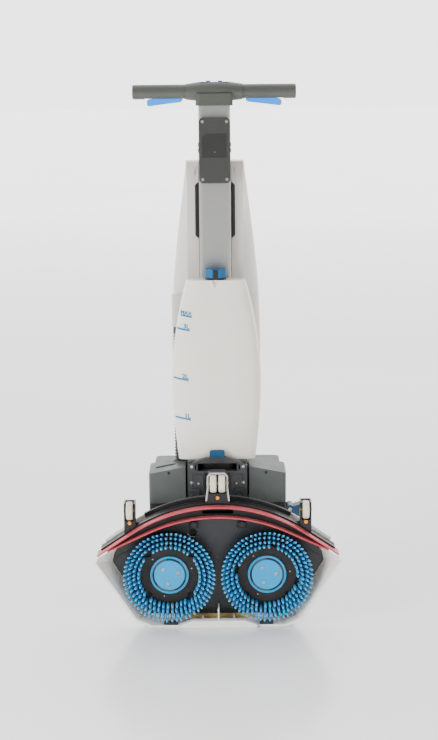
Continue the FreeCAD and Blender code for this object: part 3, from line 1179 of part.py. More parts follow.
def bracket_room():
    """Where the wheel brackets may stand: over the frame, and further back only over the cover's edge."""
    far, seam_y = rear_path(140.0, 300.0), FRAME_BACK_Y - 1.0
    over_frame = band(rear_path(FRAME_RIM, 300.0), far, FRAME_FRONT_Y - 1.0, seam_y)
    over_edge = band(rear_path(COVER_EDGE + 1.0, 300.0), far, seam_y, COLUMN_FRONT_Y)
    return over_frame.fuse(over_edge)


def make_wheel_brackets():
    """Side brackets and the central fork, standing on the rear edge of the squeegee frame."""
    brackets = []
    above = bracket_room()
    half = SIDE_BRACKET_HALF_X
    for side in (-1, 1):
        x = side * SIDE_WHEEL_X
        top, low = SIDE_WHEEL_Z + WHEEL_R - 3.0, SIDE_WHEEL_Z - WHEEL_R - 34.0
        body = block(x - half, x + half, FRAME_FRONT_Y, BRACKET_BACK_Y, low, top)
        room = block(x - half + BRACKET_CHEEK, x + half - BRACKET_CHEEK, FRAME_FRONT_Y - 1.0,
                     WHEEL_ROOM_BACK_Y, SIDE_WHEEL_Z - WHEEL_R - WHEEL_ROOM, top + 1.0)
        body = body.cut(room).cut(rod_x(WHEEL_PIN_R, x - half - 1, x + half + 1, WHEEL_Y, SIDE_WHEEL_Z))
        brackets.append(body.common(above))
    half = CENTRE_BRACKET_HALF_X
    top, low = CENTRE_WHEEL_Z + WHEEL_R + 4.0, CENTRE_WHEEL_Z - WHEEL_R - 35.0
    right = [(half + 5.0, low), (half + 3.0, low + 26.0), (half, low + 42.0), (half, top - 6.0),
             (half - 6.0, top)]
    left = [(-x, z) for x, z in reversed(right)]
    fork = prism_y(right + left, FRAME_FRONT_Y, BRACKET_BACK_Y)
    fork = fork.cut(block(-half + BRACKET_CHEEK, half - BRACKET_CHEEK, FRAME_FRONT_Y - 1.0,
                          BRACKET_BACK_Y + 1.0, CENTRE_WHEEL_Z - WHEEL_R - WHEEL_ROOM, top - 3.5))
    fork = fork.cut(rod_x(WHEEL_PIN_R, -half - 1, half + 1, WHEEL_Y, CENTRE_WHEEL_Z))
    brackets.append(fork.common(above))
    return Part.makeCompound(brackets)


def make_wheel_axles():
    """Axle pins of the side wheels and the centre pair."""
    reach = SIDE_BRACKET_HALF_X + 1.0
    pins = [rod_x(WHEEL_PIN_R, x - reach, x + reach, WHEEL_Y, SIDE_WHEEL_Z)
            for x in (-SIDE_WHEEL_X, SIDE_WHEEL_X)]
    reach = CENTRE_BRACKET_HALF_X + 2.0
    pins.append(rod_x(WHEEL_PIN_R, -reach, reach, WHEEL_Y, CENTRE_WHEEL_Z))
    return Part.makeCompound(pins)


def make_adjusters():
    """Height adjusting screws of the three wheel brackets."""
    side_z = SIDE_WHEEL_Z - WHEEL_R - 6.0
    places = [(-SIDE_WHEEL_X, side_z), (SIDE_WHEEL_X, side_z), (0.0, CENTRE_WHEEL_Z - WHEEL_R - 11.0)]
    return Part.makeCompound([rod_y(4.0, FRAME_FRONT_Y - 3.5, FRAME_FRONT_Y, x, z) for x, z in places])


def make_upright_screws():
    """Control box screws and centre panel screws."""
    screws = []
    for x, z in box_screw_places():
        head = rod_y(SCREW_HEAD_R, BOX_FRONT_Y + 0.2, BOX_FRONT_Y + 2.0, x, z)
        head = head.cut(block(x - 2.2, x + 2.2, BOX_FRONT_Y, BOX_FRONT_Y + 0.9, z - 0.5, z + 0.5))
        screws.append(head.fuse(rod_y(1.4, BOX_FRONT_Y + 2.0, COLUMN_FRONT_Y - 0.1, x, z)))
    for side in (-1, 1):
        for z in (PANEL_TOP_Z - PANEL_SCREW_DROP, 305.0):
            screws.append(rod_y(SCREW_HEAD_R, PANEL_FRONT_Y - 1.5, PANEL_FRONT_Y, side * 57.0, z))
    return Part.makeCompound(screws)


def build():
    """Every node by name."""
    upper, lower = make_handle()
    nodes = {
        "column": make_column(), "handle_upper_shell": upper, "handle_lower_shell": lower,
        "display_panel": make_display_panel(), "control_box_cover": make_control_box(),
        "control_board": make_control_board(), "upright_screws": make_upright_screws(),
        "base_housing": make_base_housing(), "base_bottom_cover": make_base_bottom_cover(),
        "centre_panel": make_centre_panel(), "motor_cover": make_motor_cover(),
        "vacuum_motor": make_vacuum_motor(), "water_pump": make_water_pump(),
        "vacuum_hose": make_vacuum_hose(),
        "neck_bracket": make_neck_bracket(), "pivot_pins": make_pivot_pins(),
        "release_pedal": make_release_pedal(),
        "solution_tank": make_solution_tank(), "tank_cap": make_cap(), "cap_band": make_cap_band(),
        "tank_latch": make_tank_latch(), "recovery_tank": make_recovery_tank(),
        "recovery_cover": make_recovery_cover(), "inlet_duct": make_inlet_duct(),
        "battery_pack": make_battery(),
        "neck": make_neck(), "suction_hose_upper": make_hose_upper(), "suction_hose_lower": make_hose_lower(),
        "deck_cover": make_deck_cover(), "deck_plate": make_deck_plate(),
        "swivel_socket": make_swivel_socket(),
        "transport_axle": make_transport_axle(), "squeegee_knobs": make_knobs(),
        "nose_pads": make_nose_pads(),
        "squeegee_frame": make_squeegee_frame(), "squeegee_blade_rear": rear_blade(),
        "squeegee_blade_front": front_blade(), "wheel_brackets": make_wheel_brackets(),
        "wheel_axles": make_wheel_axles(), "height_adjusters": make_adjusters(),
    }
    trigger = make_trigger()
    for name, side in (("left", -1), ("right", 1)):
        nodes["trigger_" + name] = trigger if side > 0 else mirrored(trigger)
        nodes["gearmotor_" + name] = make_gearmotor(side)
        nodes["brush_disc_" + name] = make_brush_disc(side)
        nodes["bristles_" + name] = make_bristles(side)
        nodes["hub_cap_" + name] = make_hub_cap(side)
        nodes["spindle_" + name] = make_spindle(side)
        nodes["transport_wheel_" + name] = make_transport_wheel(side)
    for name, x in zip(("power_button", "flow_button"), button_places()):
        nodes[name] = make_button(x)
    for name, (x, z) in wheel_places().items():
        nodes[name] = make_small_wheel(x, z)
    return nodes


def main():
    """Writes one STEP file per node."""
    os.makedirs("parts", exist_ok=True)
    for name, shape in build().items():
        solids = shape.Solids
        result = solids[0] if len(solids) == 1 else Part.makeCompound(solids)
        valid = all(s.isValid() and s.Volume > 0 for s in solids)
        volume = sum(solid.Volume for solid in solids) / 1000
        print(f"{name:24s} solids {len(solids)} volume {volume:9.2f} cm3 valid {valid}")
        result.exportStep(f"parts/{name}.step")


main()
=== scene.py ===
"""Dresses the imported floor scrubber: finishes, detailed pieces, a plain floor, lights and a camera."""

import json
import logging
import math
import random
from dataclasses import dataclass, field
from enum import Enum

import bmesh
import bpy
from mathutils import Matrix, Vector

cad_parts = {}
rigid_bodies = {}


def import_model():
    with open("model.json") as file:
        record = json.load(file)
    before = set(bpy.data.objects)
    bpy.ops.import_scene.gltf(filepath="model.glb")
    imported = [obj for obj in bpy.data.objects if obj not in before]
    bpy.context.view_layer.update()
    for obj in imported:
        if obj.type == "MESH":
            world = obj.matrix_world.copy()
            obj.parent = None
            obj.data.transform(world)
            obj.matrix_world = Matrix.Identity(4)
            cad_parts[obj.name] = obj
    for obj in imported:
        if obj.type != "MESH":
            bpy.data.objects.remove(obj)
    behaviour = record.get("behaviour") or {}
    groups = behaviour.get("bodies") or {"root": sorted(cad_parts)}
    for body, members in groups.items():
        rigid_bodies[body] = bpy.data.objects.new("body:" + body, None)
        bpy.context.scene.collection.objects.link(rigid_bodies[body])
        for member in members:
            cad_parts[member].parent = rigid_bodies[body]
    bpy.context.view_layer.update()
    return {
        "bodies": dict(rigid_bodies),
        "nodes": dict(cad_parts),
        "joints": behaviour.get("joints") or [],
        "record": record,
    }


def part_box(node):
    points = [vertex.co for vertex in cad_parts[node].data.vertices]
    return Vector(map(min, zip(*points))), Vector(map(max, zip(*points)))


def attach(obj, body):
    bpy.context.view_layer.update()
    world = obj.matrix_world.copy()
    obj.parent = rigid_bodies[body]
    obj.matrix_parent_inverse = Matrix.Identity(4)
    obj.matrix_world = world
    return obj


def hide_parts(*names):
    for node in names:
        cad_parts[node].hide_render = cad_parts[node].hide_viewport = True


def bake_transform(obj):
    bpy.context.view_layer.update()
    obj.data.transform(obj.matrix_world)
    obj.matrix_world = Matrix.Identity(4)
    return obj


LOG = logging.getLogger("scrubber")
MM = 0.001
Colour = tuple[float, float, float]
Point = tuple[float, float, float]
Piece = bpy.types.Object
Socket = bpy.types.NodeSocket
Material = bpy.types.Material


def srgb(red: int, green: int, blue: int) -> Colour:
    """Linear colour of an eight-bit display colour.

    Args:
        red: red, 0 to 255.
        green: green, 0 to 255.
        blue: blue, 0 to 255.

    Returns:
        The linear colour.
    """
    def linear(value: int) -> float:
        """One channel, from display to linear."""
        share = value / 255.0
        return share / 12.92 if share <= 0.04045 else ((share + 0.055) / 1.055) ** 2.4
    return (linear(red), linear(green), linear(blue))


def scaled(colour: Colour, share: float) -> Colour:
    """The colour made darker or lighter by a share."""
    return tuple(min(1.0, channel * share) for channel in colour)


# ------------------------------------------------------------------ finishes
class Graph:
    """A short way to write a material's nodes."""

    def __init__(self, name: str) -> None:
        """Makes an empty material with a shader and Object coordinates.

        Args:
            name: the material's name, without its prefix.
        """
        self.material = bpy.data.materials.new("finish_" + name)
        self.material.use_nodes = True
        self.tree = self.material.node_tree
        self.tree.nodes.clear()
        self.shader = self.add("ShaderNodeBsdfPrincipled")
        out = self.add("ShaderNodeOutputMaterial")
        self.link(self.shader.outputs[0], out.inputs[0])
        self.place = self.add("ShaderNodeTexCoord").outputs["Object"]

    @staticmethod
    def fill(node: bpy.types.Node, values: dict[str, object]) -> None:
        """Sets constants on a node's sockets.

        Args:
            node: the node.
            values: each socket's value, by its name.
        """
        for name, value in values.items():
            node.inputs[name].default_value = value

    def add(self, kind: str, **settings: object) -> bpy.types.Node:
        """Adds a node.

        Args:
            kind: the node's type name.
            **settings: attributes of the node, set by name.

        Returns:
            The new node.
        """
        node = self.tree.nodes.new(kind)
        for key, value in settings.items():
            setattr(node, key, value)
        return node

    def link(self, source: Socket, target: Socket) -> None:
        """Joins two sockets."""
        self.tree.links.new(source, target)

    def stretched(self, scale: Point) -> Socket:
        """Object coordinates multiplied along each axis.

        Args:
            scale: factor along each axis.

        Returns:
            The coordinates.
        """
        mapping = self.add("ShaderNodeMapping")
        self.fill(mapping, {"Scale": scale})
        self.link(self.place, mapping.inputs["Vector"])
        return mapping.outputs[0]

    def noise(self, scale: float, detail: float = 3.0, place: Socket | None = None,
              roughness: float = 0.55) -> Socket:
        """Noise between 0 and 1.

        Args:
            scale: features per metre.
            detail: octaves.
            place: coordinates, Object coordinates if left out.
            roughness: weight of the finer octaves.

        Returns:
            The factor socket.
        """
        node = self.add("ShaderNodeTexNoise")
        self.fill(node, {"Scale": scale, "Detail": detail, "Roughness": roughness})
        self.link(place or self.place, node.inputs["Vector"])
        return node.outputs[0]

    def ramp(self, source: Socket, low: float, high: float, first: float,
             last: float) -> Socket:
        """Maps a range of the source to another range, clamped.

        Args:
            source: the value to map.
            low: lower end of its range.
            high: upper end of its range.
            first: result at the lower end.
            last: result at the upper end.

        Returns:
            The mapped value.
        """
        node = self.add("ShaderNodeMapRange", clamp=True)
        self.fill(node, {"From Min": low, "From Max": high, "To Min": first, "To Max": last})
        self.link(source, node.inputs["Value"])
        return node.outputs[0]

    def mix(self, factor: Socket, first: Colour | Socket,
            second: Colour | Socket) -> Socket:
        """Blends two colours by a factor.

        Args:
            factor: share of the second colour.
            first: first colour.
            second: second colour.

        Returns:
            The blend.
        """
        node = self.add("ShaderNodeMix", data_type="RGBA")
        self.link(factor, node.inputs["Factor"])
        for value, socket in ((first, node.inputs[6]), (second, node.inputs[7])):
            if isinstance(value, tuple):
                socket.default_value = (*value, 1.0)
            else:
                self.link(value, socket)
        return node.outputs[2]

    def along(self, axis: str) -> Socket:
        """One Object coordinate.

        Args:
            axis: X, Y or Z.

        Returns:
            The coordinate.
        """
        node = self.add("ShaderNodeSeparateXYZ")
        self.link(self.place, node.inputs[0])
        return node.outputs[axis]

    def bump(self, height: Socket, strength: float, distance: float,
             under: Socket | None = None) -> Socket:
        """Adds relief, on top of other relief if given.

        Args:
            height: relief, 0 to 1.
            strength: how strongly it shows.
            distance: its depth in metres.
            under: relief that it lies on.

        Returns:
            The normal.
        """
        node = self.add("ShaderNodeBump")
        self.fill(node, {"Strength": strength, "Distance": distance})
        self.link(height, node.inputs["Height"])
        if under is not None:
            self.link(under, node.inputs["Normal"])
        return node.outputs[0]

    def finish(self, colour: Socket, roughness: Socket,
               normal: Socket) -> Material:
        """Joins the three results to the shader and returns the material.

        Args:
            colour: base colour.
            roughness: roughness.
            normal: relief.

        Returns:
            The material.
        """
        self.link(colour, self.shader.inputs["Base Color"])
        self.link(roughness, self.shader.inputs["Roughness"])
        self.link(normal, self.shader.inputs["Normal"])
        return self.material


@dataclass(frozen=True)
class Moulding:
    """Moulded plastic or cast metal: fine spark-eroded grain, faint flow patches and rubbed spots."""

    name: str
    colour: Colour
    roughness: float = 0.42
    metallic: float = 0.0
    drift: float = 0.10
    grain: float = 1900.0
    relief: float = 0.12
    translucency: float = 0.0
    specular: float = 0.5

    def build(self) -> Material:
        """Builds the material.

        Returns:
            The material.
        """
        graph = Graph(self.name)
        broad = graph.noise(9.0, 2.0)
        mottled = graph.noise(70.0, 5.0)
        darker, lighter = scaled(self.colour, 1.0 - self.drift), scaled(self.colour, 1.0 + self.drift)
        colour = graph.mix(graph.ramp(broad, 0.3, 0.7, 0.0, 1.0), darker, lighter)
        speck = graph.ramp(mottled, 0.35, 0.75, 0.0, 0.35)
        colour = graph.mix(speck, colour, scaled(self.colour, 1.0 - 0.6 * self.drift))
        scuffs = graph.noise(38.0, 6.0, graph.stretched((1.0, 1.0, 0.35)), 0.7)
        rough = graph.ramp(scuffs, 0.30, 0.75, self.roughness * 0.85, min(1.0, self.roughness * 1.25))
        fine = graph.bump(graph.noise(self.grain, 2.0), self.relief, 0.0002)
        wavy = graph.bump(graph.noise(26.0, 1.0), 0.08, 0.0008, fine)
        graph.fill(graph.shader, {"Metallic": self.metallic, "Specular IOR Level": self.specular})
        if self.translucency:
            graph.fill(graph.shader, {"Subsurface Weight": self.translucency, "Subsurface Scale": 0.008,
                                      "Subsurface Radius": (1.0, 0.9, 0.75)})
        return graph.finish(colour, rough, wavy)


@dataclass(frozen=True)
class Anodised:
    """Drawn and anodised aluminium: fine speckle and long faint draw lines."""

    name: str
    colour: Colour
    roughness: float = 0.38
    lines: Point = (900.0, 900.0, 6.0)

    def build(self) -> Material:
        """Builds the material.

        Returns:
            The material.
        """
        graph = Graph(self.name)
        speckle = graph.noise(1400.0, 2.0)
        drawn = graph.noise(1.0, 3.0, graph.stretched(self.lines))
        colour = graph.mix(graph.ramp(speckle, 0.3, 0.7, 0.0, 1.0), scaled(self.colour, 0.88), self.colour)
        colour = graph.mix(graph.ramp(drawn, 0.35, 0.65, 0.0, 0.4), colour, scaled(self.colour, 0.92))
        rough = graph.ramp(drawn, 0.3, 0.7, self.roughness * 0.85, self.roughness * 1.2)
        relief = graph.bump(speckle, 0.10, 0.0001, graph.bump(drawn, 0.06, 0.0001))
        graph.fill(graph.shader, {"Metallic": 0.9})
        return graph.finish(colour, rough, relief)


@dataclass(frozen=True)
class Turned:
    """Machined steel: bright, with fine tool marks and a little tarnish."""

    name: str
    colour: Colour
    roughness: float = 0.28

    def build(self) -> Material:
        """Builds the material.

        Returns:
            The material.
        """
        graph = Graph(self.name)
        marks = graph.noise(2600.0, 2.0, graph.stretched((1.0, 0.2, 1.0)))
        tarnish = graph.noise(160.0, 4.0)
        colour = graph.mix(graph.ramp(tarnish, 0.45, 0.8, 0.0, 0.6), self.colour, scaled(self.colour, 0.55))
        rough = graph.ramp(tarnish, 0.3, 0.8, self.roughness, self.roughness + 0.25)
        graph.fill(graph.shader, {"Metallic": 1.0})
        return graph.finish(colour, rough, graph.bump(marks, 0.15, 0.0001))


@dataclass(frozen=True)
class Elastomer:
    """Rubber or polyurethane: soft sheen, bloom in patches and a slightly pitted skin."""

    name: str
    colour: Colour
    bloom: Colour
    roughness: float = 0.6
    sheen: float = 0.15

    def build(self) -> Material:
        """Builds the material.

        Returns:
            The material.
        """
        graph = Graph(self.name)
        patches = graph.noise(45.0, 5.0)
        pits = graph.noise(1300.0, 2.0)
        colour = graph.mix(graph.ramp(patches, 0.4, 0.75, 0.0, 0.55), self.colour, self.bloom)
        colour = graph.mix(graph.ramp(pits, 0.5, 0.8, 0.0, 0.25), colour, scaled(self.colour, 0.7))
        rough = graph.ramp(patches, 0.3, 0.75, self.roughness * 0.85, min(1.0, self.roughness * 1.15))
        relief = graph.bump(pits, 0.12, 0.0002)
        graph.fill(graph.shader, {"Sheen Weight": self.sheen, "Sheen Roughness": 0.5})
        return graph.finish(colour, rough, relief)


@dataclass(frozen=True)
class Nylon:
    """Brush filament: lengthwise streaks, each tuft its own tone, and painted shade that darkens it towards
    the roots, where the tufts are packed.
    """

    name: str
    # root is a painted shade colour: the filament darkened where the packed tufts shade their roots
    root: Colour
    tip: Colour
    root_y: float = -0.150
    tip_y: float = -0.185

    def build(self) -> Material:
        """Builds the material.

        Returns:
            The material.
        """
        graph = Graph(self.name)
        # painted shade: the colour runs from the dark root colour to the tip colour along each tuft
        depth = graph.ramp(graph.along("Y"), self.root_y, self.tip_y, 0.0, 1.0)
        colour = graph.mix(depth, self.root, self.tip)
        tuft = graph.ramp(graph.noise(170.0, 1.0), 0.3, 0.7, 0.0, 0.5)
        colour = graph.mix(tuft, colour, scaled(self.tip, 0.62))
        streaks = graph.noise(1.0, 2.0, graph.stretched((2600.0, 60.0, 2600.0)))
        colour = graph.mix(graph.ramp(streaks, 0.5, 0.8, 0.0, 0.35), colour, scaled(self.tip, 1.5))
        rough = graph.ramp(streaks, 0.3, 0.7, 0.34, 0.55)
        graph.fill(graph.shader, {"Subsurface Weight": 0.08, "Subsurface Scale": 0.003})
        return graph.finish(colour, rough, graph.bump(streaks, 0.35, 0.0004))


class Paint(Enum):
    """The finishes of the machine, by the part that wears them."""

    HANDLE = Moulding("handle_plastic", srgb(72, 75, 69), 0.40, drift=0.08, relief=0.10)
    BOX = Moulding("box_plastic", srgb(54, 55, 53), 0.44, drift=0.06, relief=0.16)
    LABEL = Moulding("label_field", srgb(40, 40, 39), 0.40, drift=0.05, grain=2600.0, relief=0.05)
    HOUSING = Moulding("housing_plastic", srgb(78, 83, 82), 0.5, drift=0.07, relief=0.16, specular=0.4)
    PANEL = Moulding("panel_black", srgb(54, 55, 57), 0.36, drift=0.10, relief=0.10)
    TRAY = Moulding("tray_black", srgb(30, 30, 31), 0.5, drift=0.10)
    PLATE = Moulding("plate_black", srgb(38, 41, 43), 0.30, drift=0.12, grain=1200.0, relief=0.10)
    FRAME = Moulding("frame_black", srgb(22, 21, 22), 0.45, drift=0.15)
    TANK = Moulding("tank_white", srgb(237, 232, 219), 0.34, drift=0.02, grain=700.0, relief=0.05,
                    translucency=0.25)
    COVER = Moulding("cover_white", srgb(200, 195, 187), 0.38, drift=0.02, grain=900.0, relief=0.07,
                     translucency=0.10)
    DECK = Moulding("deck_white", srgb(240, 239, 234), 0.36, drift=0.02, grain=1400.0, relief=0.08,
                    translucency=0.30)
    LEVER = Moulding("lever_blue", srgb(40, 140, 240), 0.30, drift=0.05, relief=0.05, specular=0.35)
    CAP = Moulding("cap_blue", srgb(0, 90, 140), 0.42, drift=0.06, relief=0.06, specular=0.4)
    HUB = Moulding("hub_blue", srgb(6, 150, 206), 0.36, drift=0.05, relief=0.08, specular=0.3)
    DEEP_BLUE = Moulding("pedal_blue", srgb(12, 66, 98), 0.42, drift=0.08, relief=0.10)
    MARK = Moulding("scale_ink", srgb(0, 112, 162), 0.5, drift=0.05, relief=0.02)
    BATTERY = Moulding("battery_grey", srgb(78, 83, 82), 0.5, drift=0.07, relief=0.16, specular=0.4)
    MOTOR = Moulding("motor_can", srgb(92, 93, 95), 0.5, metallic=0.7, drift=0.12, grain=700.0, relief=0.25)
    CASTING = Moulding("neck_casting", srgb(58, 60, 62), 0.5, metallic=0.2, drift=0.12, grain=600.0,
                       relief=0.3)
    FORK = Moulding("fork_grey", srgb(184, 186, 188), 0.36, metallic=0.3, drift=0.08, grain=1100.0)
    BRACKET = Moulding("bracket_black", srgb(32, 32, 34), 0.40, drift=0.15)
    BOARD = Moulding("circuit_board", srgb(24, 78, 44), 0.4, drift=0.15)
    DISC = Moulding("brush_board", srgb(38, 34, 33), 0.62, drift=0.18, grain=800.0, relief=0.3)
    ORANGE = Moulding("nut_orange", srgb(214, 140, 52), 0.36, drift=0.08)
    YELLOW = Moulding("pin_yellow", srgb(226, 182, 66), 0.34, drift=0.08)
    # partly the amber tint between plate and lip, partly painted shade between the nose ribs
    AMBER = Moulding("amber_strip", srgb(190, 160, 104), 0.4, drift=0.12)
    COLUMN = Anodised("column_anodised", (0.56, 0.555, 0.545))
    STEEL = Turned("screw_steel", (0.62, 0.61, 0.60))
    SHAFT = Turned("shaft_steel", (0.45, 0.45, 0.46), 0.35)
    HOSE = Elastomer("hose_black", srgb(26, 26, 27), srgb(44, 44, 45), 0.5)
    SEAL = Elastomer("seal_black", srgb(24, 24, 25), srgb(40, 40, 40), 0.65)
    TYRE = Elastomer("tyre_rubber", srgb(38, 38, 39), srgb(58, 57, 56), 0.75)
    BLADE = Elastomer("blade_red", srgb(176, 52, 64), srgb(192, 78, 88), 0.42, 0.1)
    WHEEL = Elastomer("wheel_cream", srgb(226, 219, 196), srgb(206, 196, 168), 0.40, 0.05)
    # the dark root colour is painted shade between the packed tufts
    TUFT = Nylon("tuft_blue", srgb(4, 68, 130), srgb(98, 202, 253))

    def material(self) -> Material:
        """The finish's material, built on its first use."""
        made = bpy.data.materials.get("finish_" + self.value.name)
        return made or self.value.build()


# ------------------------------------------------------------------ bench tools
class Bench:
    """Modelling steps that every sub-assembly uses."""

    @staticmethod
    def clear() -> None:
        """Leaves edit mode and deselects everything."""
        if bpy.context.object and bpy.context.object.mode != "OBJECT":
            bpy.ops.object.mode_set(mode="OBJECT")
        bpy.ops.object.select_all(action="DESELECT")

    @staticmethod
    def take(*objects: Piece) -> None:
        """Selects only these objects; the first one is active.

        Args:
            *objects: what to select.
        """
        Bench.clear()
        for each in objects:
            each.select_set(True)
        bpy.context.view_layer.objects.active = objects[0]

    @staticmethod
    def block(name: str, low: Point, high: Point) -> Piece:
        """Box between two corners given in millimetres.

        Args:
            name: object name.
            low: lowest corner.
            high: highest corner.

        Returns:
            The box.
        """
        Bench.clear()
        centre = [(a + b) / 2 * MM for a, b in zip(low, high)]
        size = [(b - a) * MM for a, b in zip(low, high)]
        bpy.ops.mesh.primitive_cube_add(size=1.0, location=centre, scale=size)
        return Bench.settle(bpy.context.object, name)

    @staticmethod
    def drum(name: str, centre: Point, axis: str, radius: float, depth: float,
             sides: int = 48) -> Piece:
        """Cylinder in millimetres.

        Args:
            name: object name.
            centre: middle of the cylinder.
            axis: X, Y or Z; the cylinder's top faces its positive direction.
            radius: radius.
            depth: length along the axis.
            sides: number of sides.

        Returns:
            The cylinder.
        """
        Bench.clear()
        turn = {"X": (0, math.pi / 2, 0), "Y": (-math.pi / 2, 0, 0), "Z": (0, 0, 0)}[axis]
        bpy.ops.mesh.primitive_cylinder_add(vertices=sides, radius=radius * MM, depth=depth * MM,
                                            location=[c * MM for c in centre], rotation=turn)
        return Bench.settle(bpy.context.object, name)

    @staticmethod
    def grid(name: str, columns: int, rows: int = 1) -> Piece:
        """Flat grid from -1 to 1 both ways, ready to be bent.

        Args:
            name: object name.
            columns: faces along X.
            rows: faces along Y.

        Returns:
            The grid.
        """
        Bench.clear()
        bpy.ops.mesh.primitive_grid_add(x_subdivisions=columns, y_subdivisions=rows, size=2.0)
        return Bench.settle(bpy.context.object, name)

    @staticmethod
    def thickened(sheet: Piece, thick: float) -> Piece:
        """Gives a sheet a thickness in millimetres, half on each side.

        Args:
            sheet: the open sheet.
            thick: its thickness.

        Returns:
            The closed piece.
        """
        skin = sheet.modifiers.new("thickness", "SOLIDIFY")
        skin.thickness = thick * MM
        skin.offset = 0.0
        return Bench.outward(Bench.apply(sheet))

    @staticmethod
    def heads(name: str, centres: list[Point], axis: str, radius: float, depth: float, sides: int,
              steps: list[tuple[float, float]], edge: tuple[float, int]) -> Piece:
        """Small round pieces of one kind, joined.

        Args:
            name: name of the joined piece.
            centres: middle of each, in millimetres.
            axis: axis of the drums.
            radius: their radius.
            depth: their length.
            sides: number of sides.
            steps: rings worked into the front face, if any.
            edge: width and segments of the rounded edge.

        Returns:
            The joined piece.
        """
        made = []
        for centre in centres:
            head = Bench.drum("head", centre, axis, radius, depth, sides)
            if steps:
                Bench.terrace(head, (0, -1, 0), steps)
            made.append(Bench.bevel(head, *edge))
        return Bench.join(name, made)

    @staticmethod
    def settle(piece: Piece, name: str) -> Piece:
        """Moves an object's place into its mesh and names it.

        Args:
            piece: the object.
            name: its name.

        Returns:
            The same object.
        """
        Bench.take(piece)
        bpy.ops.object.transform_apply(location=True, rotation=True, scale=True)
        piece.name = name
        piece.data.name = name
        return piece

    @staticmethod
    def terrace(piece: Piece, direction: Point, steps: list[tuple[float, float]]) -> None:
        """Works an end face in rings: each step insets it, then raises it, in millimetres.

        Args:
            piece: the object.
            direction: where the end face looks.
            steps: inset and rise of each ring.
        """
        Bench.take(piece)
        bpy.ops.object.mode_set(mode="EDIT")
        bpy.ops.mesh.select_mode(type="FACE")
        bpy.ops.mesh.select_all(action="DESELECT")
        bpy.ops.object.mode_set(mode="OBJECT")
        for face in piece.data.polygons:
            face.select = face.normal.dot(Vector(direction)) > 0.99
        bpy.ops.object.mode_set(mode="EDIT")
        for inset, rise in steps:
            if inset:
                bpy.ops.mesh.inset(thickness=inset * MM)
            if rise:
                bpy.ops.mesh.extrude_region_move(
                    TRANSFORM_OT_translate={"value": Vector(direction) * rise * MM})
        bpy.ops.object.mode_set(mode="OBJECT")

    @staticmethod
    def apply(piece: Piece) -> Piece:
        """Applies every modifier in order.

        Args:
            piece: the object.

        Returns:
            The same object.
        """
        Bench.take(piece)
        for modifier in list(piece.modifiers):
            bpy.ops.object.modifier_apply(modifier=modifier.name)
        return piece

    @staticmethod
    def bevel(piece: Piece, width: float, segments: int = 2, angle: float = 32.0) -> Piece:
        """Rounds the sharp edges, in millimetres, and applies it.

        Args:
            piece: the object.
            width: width of the rounding.
            segments: faces across it.
            angle: edges sharper than this are rounded.

        Returns:
            The same object.
        """
        modifier = piece.modifiers.new("edges", "BEVEL")
        modifier.width = width * MM
        modifier.segments = segments
        modifier.limit_method = "ANGLE"
        modifier.angle_limit = math.radians(angle)
        modifier.use_clamp_overlap = True
        Bench.smooth(Bench.apply(piece))
        flat = piece.modifiers.new("flat", "WEIGHTED_NORMAL")
        flat.keep_sharp = True
        return Bench.apply(piece)

    @staticmethod
    def smooth(piece: Piece, angle: float = 35.0) -> Piece:
        """Smooth shading except across sharp edges.

        Args:
            piece: the object.
            angle: edges sharper than this stay sharp.

        Returns:
            The same object.
        """
        Bench.take(piece)
        bpy.ops.object.shade_smooth_by_angle(angle=math.radians(angle))
        return piece

    @staticmethod
    def placed(name: str, data: bpy.types.ID) -> Piece:
        """Puts a mesh, curve, light or camera into the scene.

        Args:
            name: object name.
            data: what it shows.

        Returns:
            The new object.
        """
        made = bpy.data.objects.new(name, data)
        bpy.context.scene.collection.objects.link(made)
        return made

    @staticmethod
    def outward(piece: Piece) -> Piece:
        """Points the faces outwards.

        Args:
            piece: the object.

        Returns:
            The same object.
        """
        Bench.take(piece)
        bpy.ops.object.mode_set(mode="EDIT")
        bpy.ops.mesh.select_all(action="SELECT")
        bpy.ops.mesh.normals_make_consistent(inside=False)
        bpy.ops.object.mode_set(mode="OBJECT")
        return piece

    @staticmethod
    def join(name: str, pieces: list[Piece]) -> Piece:
        """Joins several objects into one.

        Args:
            name: name of the result.
            pieces: the objects.

        Returns:
            The joined object.
        """
        Bench.take(*pieces)
        if len(pieces) > 1:
            bpy.ops.object.join()
        pieces[0].name = name
        pieces[0].data.name = name
        return pieces[0]

    @staticmethod
    def dress(piece: Piece, body: str, paint: Paint, slot: str | None = None,
              replaces: tuple[str, ...] = ()) -> Piece:
        """Paints a piece and hangs it on its body.

        Args:
            piece: the finished object.
            body: the body it rides on.
            paint: its finish.
            slot: the record's material slot; not used.
            replaces: nodes that it stands for.

        Returns:
            The same object.
        """
        piece.data.materials.clear()
        piece.data.materials.append(paint.material())
        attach(piece, body)
        if replaces:
            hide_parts(*replaces)
        LOG.info("%s on %s: %d faces", piece.name, body, len(piece.data.polygons))
        return piece


